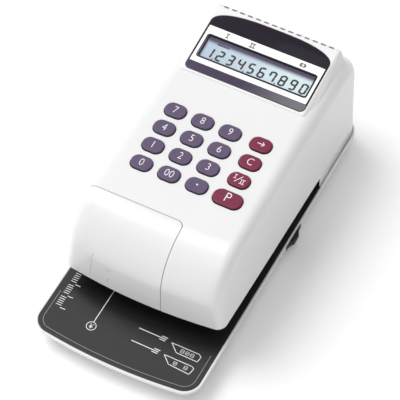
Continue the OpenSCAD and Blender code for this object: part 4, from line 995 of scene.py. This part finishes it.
class CHECKWRITER_OT_table(PieceOperator, bpy.types.Operator):
    """Build the check table's plate and its printed ruler, lines and label frames"""
    bl_idname = "checkwriter.table"
    bl_label = "Check table"

    def execute(self, context):
        look = self.look(context)
        rim = LIP_W + PLATE_GAP
        plate = layered("table_top", case_outline, [
            (rim, TABLE_LOW), (rim, TABLE_Z - 0.15), (rim + 0.05, TABLE_Z - 0.04), (rim + 0.15, TABLE_Z),
            (rim + 0.6, TABLE_Z)])
        openings = [(WHEEL_X, WHEEL_Y, WHEEL_OPENING)] + [(FEED_X, y, FEED_OPENING) for y in FEED_YS]
        cuts = [box("opening", (x - w / 2, y - d / 2, FLOOR_TOP), (x + w / 2, y + d / 2, TABLE_Z + 1))
                for x, y, (w, d) in openings]
        cuts.append(box("rear", (-CASE_W, THROAT_REAR - PLATE_GAP, FLOOR_TOP),
                        (CASE_W, CASE_REAR, TABLE_Z + 1)))
        carve(plate, cuts)
        stops = side_boxes("throat_stop", STOP_IN, STOP_OUT, THROAT_REAR - 0.3, THROAT_REAR - 0.02,
                           TABLE_Z - 0.5, MOUTH_REAR)
        carve(plate, stops, "UNION")
        paint(smooth(plate), finish("black_table"))
        fitted(plate, "case", ["table_plate"])

        top, white, pitch = at(0, 0, TABLE_Z), finish("table_print"), look.tick_pitch / MM
        ticks = []
        kinds = (("short_ticks", 1, SHORT_TICK, 0.24), ("long_ticks", LONG_EVERY, LONG_TICK, 0.26))
        for name, every, run, half in kinds:
            tick = box("tick", (RULER_X, -half, 0), (RULER_X + run, half, FILM), top)
            count = (look.tick_count + every - 1) // every
            ticks.append(repeated(name, tick, count, (0, RULER_Y, 0), (0, every * pitch, 0), white))
        ring = top @ at(WHEEL_X, RING_Y)
        marks = ticks + [annulus("mark_ring", RING_R, RING_R - 0.45, ring, white),
                         lettering("¥", 4.2, ring, white, 0.9, 0.01)]
        lines = [[(WHEEL_X, RING_Y + 53.5), (WHEEL_X, RING_Y + RING_R + 0.2)]]
        for y in GUIDE_YS:
            lines.append([(GUIDE_LEFT, y), (GUIDE_RIGHT, y)])
            lines += [[(x, y + s * 1.5) for x in (22 + s * 0.4, 26 + s * 0.4)] for s in (-1, 1)]
        marks.append(printed("table_lines", lines, top, white, 0.58))
        frames = [corners + corners[:1] for corners in LABEL_FRAMES]
        marks.append(printed("label_frames", frames, top, white, 0.5))
        for x, y in LABEL_CELLS:
            cell = [(x, y), (x + 2.4, y), (x + 2.4, y + 2.6), (x, y + 2.6), (x, y)]
            bar = [(x + 0.3, y + 1.3), (x + 2.1, y + 1.3)]
            marks.append(printed("label_cell", [cell, bar], top, white, 0.3))
        border = framed("border", case_outline(BORDER_IN), case_outline(BORDER_IN + 0.35), top,
                        finish("border_print"))
        marks.append(carve(border, [box("rear", (-CASE_W, BORDER_END, 0), (CASE_W, CASE_REAR, TABLE_Z + 1))]))
        fitted(joined("table_markings", marks), "case")
        return {"FINISHED"}


class CHECKWRITER_OT_housing(PieceOperator, bpy.types.Operator):
    """Build the head's shell and the cover over its ink roller"""
    bl_idname = "checkwriter.housing"
    bl_label = "Head and ink cover"

    def execute(self, context):
        look = self.look(context)
        shell, head_skin = hull("head_shell", head_points(0, TABLE_LOW))
        cap, hood_skin = hull("hood", hood_points(0))
        cover = copied(shell, "cover_shell")
        inner = head_core(WALL)
        spare = copied(inner, "spare")
        carve(inner, [hull("inner_hood", hood_points(HOOD_WALL, 8))[0]], "UNION")
        carve(inner, [prism("shelf", panel_outline(2), -PANEL_T - SHELF_T, FAR, on_hood())])
        carve(shell, [cap], "UNION")
        carve(shell, [inner, below_mouth()])
        carve(shell, [self.ribs()], "UNION")
        carve(shell, self.openings(look))
        dressed(shell, [head_skin, hood_skin])
        paint(shell, finish("white_case"))
        fitted(shell, "case", ["upper_housing"])

        # The ink cover is cut from the same head
        carve(cover, [spare, below_mouth()])
        carve(cover, [cover_space(0)], "INTERSECT")
        rim = carve(cover_space(3), [cover_space(-BEVEL, 0, 2 * DECK_Z)])
        carve(cover, [carve(rim, [head_core(BEVEL_DEPTH)])])
        carve(cover, [self.engraving()])
        carve(cover, [joined("tongues", [tongue(x, 0, 5.2, 8) for x in TONGUE_XS])], "UNION")
        dressed(cover, [head_skin])
        paint(cover, finish("white_case"))
        fitted(cover, "ink_cover", ["ink_cover"])
        return {"FINISHED"}

    @staticmethod
    def ribs():
        """Ribs, posts and catches inside the head, trimmed to its skin."""
        rib_rear = THROAT_REAR + WALL
        web = box("rib", (-CASE_W, THROAT_REAR, TABLE_LOW), (CASE_W, rib_rear, RIB_HIGH))
        more = side_boxes("rib", STOP_IN, CASE_W, THROAT_REAR, rib_rear, TABLE_LOW, MOUTH_REAR + 12)
        more += [prism("post", circle(0, 0, POST_R, 32), KEYPAD_Z, 0, on_deck(x, y)) for x, y in DECK_POSTS]
        more += [prism("boss", circle(x, y, BOSS_R, 32), TABLE_LOW, DECK_Z + FAR) for x, y in BOSSES]
        more += [box("catch", (x - 6, COVER_Y, deck(COVER_Y) - 11), (x + 6, COVER_Y + 7, DECK_Z))
                 for x in TONGUE_XS]
        carve(web, more, "UNION")
        return carve(web, [head_core(0.5, 0)], "INTERSECT")

    @staticmethod
    def openings(look):
        """Everything that is cut from the head: key holes, panel seat, vents, cover, screw holes and jack."""
        edge = [(KEY_GAP, -WALL - 1), (KEY_GAP, -0.4), (KEY_GAP + 0.1, -0.15), (KEY_GAP + 0.4, 0.08),
                (KEY_GAP + 1.2, 0.7), (KEY_GAP + 1.2, PAST)]
        holes = [layered("key_hole", key_outline(column, line), edge, key_place(column, line))
                 for _, column, line, _ in KEYS]
        seat_edge = [(0.15, -PANEL_T), (0.15, -0.25), (0.45, 0.06), (0.45, PAST)]
        seat = layered("panel_seat", panel_outline, seat_edge, on_hood())
        window = box("window", (-42, 10.5, -10), (42, 39.5, PAST), on_hood())
        pitch = look.vent_pitch / MM
        slot = prism("vent", rounded(VENT_W, VENT_L, 0.5, 8), -PAST, 4)
        start = ((1 - look.vent_count) / 2 * pitch, HOOD_REAR - VENT_IN - VENT_L / 2, hood(HOOD_REAR))
        vents = repeated("vent_slots", slot, look.vent_count, start, (pitch, 0, 0))
        bevel = carve(cover_space(SEAM + BEVEL), [head_core(BEVEL_DEPTH)])
        drills = [prism("drill", circle(x, y, 1.51, 24), TABLE_LOW - 1, TABLE_LOW + 17) for x, y in BOSSES]
        drills += [prism("drill", circle(0, 0, 1.21, 24), KEYPAD_Z - 1, KEYPAD_Z + 5, on_deck(x, y))
                   for x, y in DECK_POSTS]
        drills.append(prism("jack_hole", circle(0, 0, JACK_R + 0.3), CASE_REAR - 10, CASE_REAR + 2,
                            JACK_PLACE))
        cuts = [joined("key_holes", holes), seat, window, vents, cover_space(SEAM), bevel]
        cuts += [tongue(x, TONGUE_GAP, 10, 12) for x in TONGUE_XS]
        return cuts + [joined("drills", drills)]

    @staticmethod
    def engraving():
        """Fine marks on the cover's front: a long line, a triangle and a short line."""
        white = finish("white_case")
        front = at(0, -80) @ Matrix.Rotation(math.pi / 2, 4, "X")
        strokes = [[(-38, 62), (-40.6, 36)], [(-25.8, 43), (-25.8, 38)]]
        lines = printed("lines", strokes, front, white, 0.45, 4, 16)
        point = front @ at(-25, 53.4) @ Matrix.Rotation(math.pi / 2, 4, "Z")
        triangle = annulus("triangle", 1.8, 0.9, point, white, 4, 16, 3)
        return carve(joined("engraving", [lines, triangle]), [head_core(0.5)])


class CHECKWRITER_OT_display(PieceOperator, bpy.types.Operator):
    """Build the display panel, its prints, and the liquid crystal glass with its digits"""
    bl_idname = "checkwriter.display"
    bl_label = "Display"

    def execute(self, context):
        place = on_hood()
        edge = [(0, -PANEL_T), (0, -0.2), (-0.06, -0.06), (-0.2, 0)]
        slab = layered("window_panel", panel_outline, edge, place)
        opening = layered("opening", grown(*LCD_OPENING, 1.2, 8, *LCD_MIDDLE),
                          [(0, -3), (0, -0.3), (0.35, 0.01), (0.35, 1)], place)
        carve(slab, [opening])
        paint(smooth(slab), finish("display_window"))
        fitted(slab, "case", ["display_panel"])
        fitted(self.prints(place), "case")
        fitted(self.lcd(self.look(context), place), "case", ["lcd_module"])
        return {"FINISHED"}

    @staticmethod
    def prints(place):
        """The white plate round the display, the band at the foot and the plate's marks."""
        outer, inner = rounded(92.6, 32.4, 0.5, 4, 0, 23.4), rounded(88.4, 21.4, 2.2, 4, 0, 22.1)
        plate = framed("white_plate", outer, inner, place, finish("plate_white"))
        low = [p for p in panel_outline(-BAND_IN) if p[1] < PANEL_CORNER_R + 1]
        right, left = [p for p in low if p[0] > 0], [p for p in low if p[0] < 0]
        side = PANEL_W / 2 - BAND_IN
        band = prism("foot_band", right + [(side, BAND_TOP), (-side, BAND_TOP)] + left, 0, FILM, place)
        serif = [[(-1, 1.7), (1, 1.7)], [(-1, -1.7), (1, -1.7)], [(0, 1.7), (0, -1.7)]]
        marks = [[(x + u, y + MARK_V) for x, y in s] for u in (-30.2, -11.11, -9.09) for s in serif]
        marks += [[(28.2, 37.2), (31.6, 37.2), (31.6, 34.9), (28.2, 34.9), (28.2, 37.2)],
                  [(32.3, 36.5), (32.3, 35.6)], [(29.2, 36.6), (29.2, 35.5)]]
        return joined("panel_prints", [plate, paint(band, finish("foot_band")),
                                       printed("marks", marks, place, finish("dark_print"), 0.7, 0, 0.05)])

    @staticmethod
    def lcd(look, place):
        """The glass with its digits, in a steel frame on its board."""
        width, depth = LCD_OPENING
        outline = rounded(width - 0.1, depth - 0.1, 1.1, 8, *LCD_MIDDLE)
        glass = prism("lcd_glass", outline, -PANEL_T - 0.1, LCD_Z, place)
        parts = [paint(glass, finish("lcd"))]
        u = DIGIT_LEFT
        for sign in look.number_shown:
            if sign == ",":
                outlines = [[(u - 1.75, 14.9), (u - 0.95, 14.9), (u - 1.3, 13.3), (u - 1.9, 13.3)]]
            else:
                outlines = segment_digit(sign, u, look.digit_height / MM)
                u += DIGIT_PITCH
            parts += [paint(prism("segment", outline, LCD_Z, LCD_Z + FILM, place), finish("lcd_segment"))
                      for outline in outlines]
        bars = ((-33.4, -31.4), (-30.6, -28.9), (-28.1, -24.8))
        label = [[(left, 27.2), (right, 27.2)] for left, right in bars]
        parts.append(printed("label", label, place, finish("lcd_label"), 1.3, LCD_Z, LCD_Z + FILM))
        seat = place @ at(0, 25, -PANEL_T - SHELF_T)
        layers = [("lcd_back", 83.4, 28.4, 0, 1.9, "dark_plastic"),
                  ("lcd_frame", 89, 34, -3.1, -0.1, "zinc_steel"),
                  ("lcd_board", 91, 38, -4.6, -3.0, "board")]
        for name, w, d, low, high, made_of in layers:
            parts.append(paint(box(name, (-w / 2, -d / 2, low), (w / 2, d / 2, high), seat), finish(made_of)))
        parts += [paint(box("chip", (x - 6, -4.5, -6.1), (x + 6, 4.5, -4.5), seat), finish("dark_plastic"))
                  for x in (-25, 5, 28)]
        return joined("lcd_unit", parts)


class CHECKWRITER_OT_keys(PieceOperator, bpy.types.Operator):
    """Build the sixteen keys with their printed legends"""
    bl_idname = "checkwriter.keys"
    bl_label = "Keys"

    def execute(self, context):
        look = self.look(context)
        r = look.key_round / MM
        flange_top = -WALL - 0.2
        flange_low = flange_top - FLANGE_T
        edge = eased([(1.2, flange_low, 0), (1.2, flange_top, 0), (0, flange_top, 0), (0, KEY_UP, r),
                      (-r - 0.6, KEY_UP, 0)], 6)
        stem = [(2.2, flange_low - 3.6), (2.5, flange_low - 3.3), (2.5, flange_low + 0.6)]
        for name, column, line, legend in KEYS:
            place = key_place(column, line)
            slot = "key_red" if column == 3 else "key_grey"
            # The cap's upright sides take the darker copy of its colour: painted shade on the key's flanks
            flank = finish(slot + "_side_shade")
            cap = paint(layered("cap", key_outline(column, line), edge, place), finish(slot))
            cap.data.materials.append(flank)
            upright = place.inverted().to_3x3()
            for side in cap.data.polygons:
                side.material_index = int(abs((upright @ side.normal).z) < 0.1)
            seat = place @ at(0, 0.9 if legend == "P" else 0.35, KEY_UP)
            parts = [cap, paint(turned("plunger", stem, place, 32), flank), self.legend(legend, seat, look)]
            fitted(smooth(joined(name + "_cap", parts)), name, [name])
        return {"FINISHED"}

    @staticmethod
    def legend(legend, seat, look):
        """A key's print: a numeral or letter, or a drawn arrow, point or mode mark."""
        white = finish("white_print")
        if legend == "arrow":
            strokes = [[(-2.6, 0), (2.5, 0)], [(0.9, 1.5), (2.6, 0), (0.9, -1.5)]]
            return printed("legend", strokes, seat, white, 0.62)
        if legend == "point":
            return annulus("legend", 0.75, 0.3, seat, white)
        if legend == "mode":
            one = [[(-4.4, 3.0), (-2.8, 3.0)], [(-3.6, 3.0), (-3.6, -0.2)], [(-4.4, -0.2), (-2.8, -0.2)]]
            two = [[(1.0, y), (4.4, y)] for y in (0.6, -3.0)] + [[(x, 0.6), (x, -3.0)] for x in (1.9, 3.5)]
            return printed("legend", one + two + [[(-2.6, -2.9), (1.3, 3.0)]], seat, white, 0.5)
        size = look.legend_height / MM * (1.28 if legend == "P" else 1)
        return lettering(legend, size, seat, white, 0.84, -0.012)


class CHECKWRITER_OT_slider(PieceOperator, bpy.types.Operator):
    """Build the power slider with its ribbed thumb grip"""
    bl_idname = "checkwriter.slider"
    bl_label = "Power slider"

    def execute(self, context):
        face, out, half = CASE_W / 2 + 0.2, CASE_W / 2 + KNOB_OUT, KNOB_L / 2
        rise = out - face - 0.15
        shares = [i / 24 for i in range(25)]
        side = [(face, half)] + [(out - rise * (1 - t ** 2.6), half * (1 - 0.7 * t)) for t in shares]
        flanks = side + [(x, -y) for x, y in reversed(side)]

        def outline(inset):
            return [(max(x - inset, face), y * (1 - inset / half)) for x, y in flanks]

        low, high = LIP_LOW - 3.4, TABLE_Z - 0.4
        rounds = [(0.35, 0), (0.1, 0.12), (0, 0.4)]
        levels = [(g, low + z) for g, z in rounds] + [(g, high - z) for g, z in reversed(rounds)]
        knob = layered("slider_knob", outline, levels, at(0, KNOB_Y))
        neck = box("neck", (NECK_IN, KNOB_Y - NECK_W / 2, NECK_LOW),
                   (face + 0.05, KNOB_Y + NECK_W / 2, NECK_HIGH))
        carve(knob, [neck], "UNION")
        groove = box("groove", (out - 0.5, -0.22, low - 1), (out + 1, 0.22, high + 1))
        start = KNOB_Y - (GRIP_GROOVES - 1) / 2 * GRIP_PITCH
        carve(knob, [repeated("grip_grooves", groove, GRIP_GROOVES, (0, start, 0), (0, GRIP_PITCH, 0))])
        paint(smooth(knob), finish("slider_black"))
        fitted(knob, "power_slider", ["power_slider"])
        return {"FINISHED"}


class CHECKWRITER_OT_spring(PieceOperator, bpy.types.Operator):
    """Build the print arm's return spring as a fixed coil; the real spring shortens as the arm goes down"""
    bl_idname = "checkwriter.spring"
    bl_label = "Arm spring"

    def execute(self, context):
        low, high = SPRING_LOW + WIRE_R + 0.02, SPRING_HIGH - WIRE_R - 0.04
        steps = TURN_STEPS * SPRING_TURNS
        rings = []
        for i in range(steps + 1):
            a = 2 * math.pi * i / TURN_STEPS
            out = Vector((math.cos(a), math.sin(a), 0))
            middle = Vector((WHEEL_X, SPRING_Y, low + (high - low) * i / steps)) + out * SPRING_R
            rings.append([middle + out * u + Vector((0, 0, v)) for u, v in circle(0, 0, WIRE_R, 12)])
        coil = paint(smooth(loft("arm_coil", rings), 60), finish("shaft_steel"))
        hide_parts("arm_spring")
        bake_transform(coil)
        return {"FINISHED"}


class CHECKWRITER_OT_underside(PieceOperator, bpy.types.Operator):
    """Build the rubber feet, the battery door and the jack in the rear wall"""
    bl_idname = "checkwriter.underside"
    bl_label = "Feet, door and jack"

    def execute(self, context):
        self.feet()
        self.door()
        self.jack()
        return {"FINISHED"}

    @staticmethod
    def feet():
        """Four round rubber feet."""
        profile = eased([(FOOT_R - 2, 0, 0), (FOOT_R, 0, 0.75), (FOOT_R, FLOOR_Z + 1, 0)], 5)
        rubber = finish("foot_rubber")
        rows = [repeated("foot_row", turned("foot", profile), 2, (-FOOT_X, y, 0), (2 * FOOT_X, 0, 0), rubber)
                for y in FOOT_YS]
        fitted(smooth(joined("foot_pads", rows)), "case", ["rubber_feet"])

    @staticmethod
    def door():
        """The battery door with its rails, grip and arrow."""
        low, front, rear = FLOOR_Z + 0.1, CELL_Y - DOOR_L / 2, CELL_Y + DOOR_L / 2
        rail_z = low + DOOR_T
        levels = [(-0.3, low), (-0.08, low + 0.08), (0, low + 0.3), (0, rail_z + OVERLAP)]
        door = layered("door_plate", grown(DOOR_W, DOOR_L, 1, 6, 0, CELL_Y), levels)
        side = DOOR_W / 2 + RAIL_W
        carve(door, [box("rail", (-side, front, rail_z), (side, rear, rail_z + 0.6))], "UNION")
        groove = prism("groove", rounded(18, 1, 0.49, 6), low - 1, low + 0.35)
        grip = repeated("grip", groove, 5, (0, front + 5.5, 0), (0, 2, 0))
        arrow = prism("arrow", [(-4, rear - 9), (4, rear - 9), (0, rear - 16)], low - 1, low + 0.2)
        carve(door, [grip, arrow])
        paint(smooth(door), finish("white_case"))
        fitted(door, "battery_door", ["battery_door"])

    @staticmethod
    def jack():
        """The socket for the mains adapter, with its centre pin."""
        face, side = HEAD_REAR - bow(JACK_X), JACK_R + 1
        inner = HEAD_REAR - WALL - bow(abs(JACK_X) + side) - 0.3
        barrel = turned("barrel", [(JACK_R, inner - 0.1), (JACK_R, face - 0.35), (JACK_R - 0.1, face - 0.12),
                                   (JACK_R - 0.35, face)], JACK_PLACE)
        block = box("block", (JACK_X - side, inner - 10, JACK_Z - side),
                    (JACK_X + side, inner, JACK_Z + side))
        carve(barrel, [block], "UNION")
        bore = [(2.85, face - 9), (2.85, face - 0.4), (3.3, face + 0.05), (3.3, face + 1)]
        carve(barrel, [turned("bore", bore, JACK_PLACE)])
        pin = turned("pin", [(1.05, face - 10), (1.05, face - 1.35), (0.85, face - 1.06), (0.4, face - 1.0)],
                     JACK_PLACE, 32)
        parts = [paint(barrel, finish("dark_plastic")), paint(pin, finish("shaft_steel"))]
        fitted(smooth(joined("jack_socket", parts)), "case", ["dc_jack"])


class CHECKWRITER_OT_stage(PieceOperator, bpy.types.Operator):
    """Set the floor, the soft studio light and the camera"""
    bl_idname = "checkwriter.stage"
    bl_label = "Stage"

    def execute(self, context):
        scene = context.scene
        self.floor()
        scene.world = self.studio()
        lamps = (("key_light", (-0.5, 0.06, 0.86), 36, 1.35), ("top_light", (0, -0.1, 1), 80, 0.6))
        for name, toward, spread, power in lamps:
            lamp = bpy.data.lights.new(name, "SUN")
            lamp.angle = math.radians(spread)
            lamp.energy = power
            holder = placed(name, lamp)
            holder.location = Vector(toward)
            holder.rotation_euler = Vector(toward).to_track_quat("Z", "Y").to_euler()
        scene.camera = self.camera()
        scene.view_settings.view_transform = "Standard"
        return {"FINISHED"}

    @staticmethod
    def floor():
        """White paper sweep, a few metres wide."""
        corners = [(-FLOOR_REACH, -FLOOR_REACH, 0), (FLOOR_REACH, -FLOOR_REACH, 0),
                   (FLOOR_REACH, FLOOR_REACH, 0), (-FLOOR_REACH, FLOOR_REACH, 0)]
        floor = new_piece("floor", corners, [(0, 1, 2, 3)])
        made, tree, place = material("paper_sweep")
        _, tone = grain(tree, place, 400, 0.99, 1.01)
        surface(tree, {"Base Color": tinted(tree, srgb("#fbfbfb"), tone), "Roughness": 0.9})
        paint(floor, made)

    @staticmethod
    def studio():
        """Soft white surroundings, brighter on the left than on the right."""
        world = bpy.data.worlds.new("studio")
        world.use_nodes = True
        tree = world.node_tree
        tree.nodes.clear()
        toward = add(tree, "ShaderNodeTexCoord").outputs["Generated"]
        side = add(tree, "ShaderNodeVectorMath", {"operation": "DOT_PRODUCT"},
                   {0: toward, 1: (0.96, 0.28, 0)})
        level = add(tree, "ShaderNodeMapRange", None,
                    {"Value": side.outputs["Value"], "From Min": -1.0, "To Min": 0.85, "To Max": 0.3})
        sky = add(tree, "ShaderNodeBackground", None,
                  {"Color": srgb("#ffffff"), "Strength": level.outputs["Result"]})
        add(tree, "ShaderNodeOutputWorld", None, {"Surface": sky.outputs["Background"]})
        return world

    @staticmethod
    def camera():
        """Camera at the photo's place, turned, raised and rolled as it was."""
        lens = bpy.data.cameras.new("camera")
        lens.sensor_width = SENSOR
        lens.lens = SENSOR * PHOTO_FOCUS / PHOTO_WIDTH
        lens.clip_end = 20
        view = placed("camera", lens)
        az, el, roll = [math.radians(angle) for angle in CAMERA_ANGLES]
        back = Vector((math.sin(az) * math.cos(el), -math.cos(az) * math.cos(el), math.sin(el)))
        right = Vector((math.cos(az), math.sin(az), 0))
        up = back.cross(right)
        across = right * math.cos(roll) + up * math.sin(roll)
        upward = up * math.cos(roll) - right * math.sin(roll)
        turn = Matrix((across, upward, back)).transposed().to_4x4()
        view.matrix_world = Matrix.Translation(Vector(CAMERA_PLACE) * MM) @ turn
        return view


OPERATORS = (CHECKWRITER_OT_finishes, CHECKWRITER_OT_lower_case, CHECKWRITER_OT_table, CHECKWRITER_OT_housing,
             CHECKWRITER_OT_display, CHECKWRITER_OT_keys, CHECKWRITER_OT_slider, CHECKWRITER_OT_spring,
             CHECKWRITER_OT_underside, CHECKWRITER_OT_stage)


class CHECKWRITER_PT_pieces(bpy.types.Panel):
    """Lists the check writer's settings and pieces"""
    bl_idname = "CHECKWRITER_PT_pieces"
    bl_label = "Check Writer"
    bl_space_type = "VIEW_3D"
    bl_region_type = "UI"
    bl_category = "Check Writer"

    def draw(self, context):
        look = context.scene.check_writer
        for name in CheckWriterSettings.__annotations__:
            self.layout.prop(look, name)
        for operator in OPERATORS:
            self.layout.operator(operator.bl_idname)


CLASSES = (CheckWriterSettings,) + OPERATORS + (CHECKWRITER_PT_pieces,)


def register():
    for item in CLASSES:
        bpy.utils.register_class(item)
    bpy.types.Scene.check_writer = PointerProperty(type=CheckWriterSettings)


def unregister():
    del bpy.types.Scene.check_writer
    for item in reversed(CLASSES):
        bpy.utils.unregister_class(item)


def main():
    register()
    for operator in OPERATORS:
        group, name = operator.bl_idname.split(".")
        getattr(getattr(bpy.ops, group), name)()


if __name__ == "__main__":
    main()
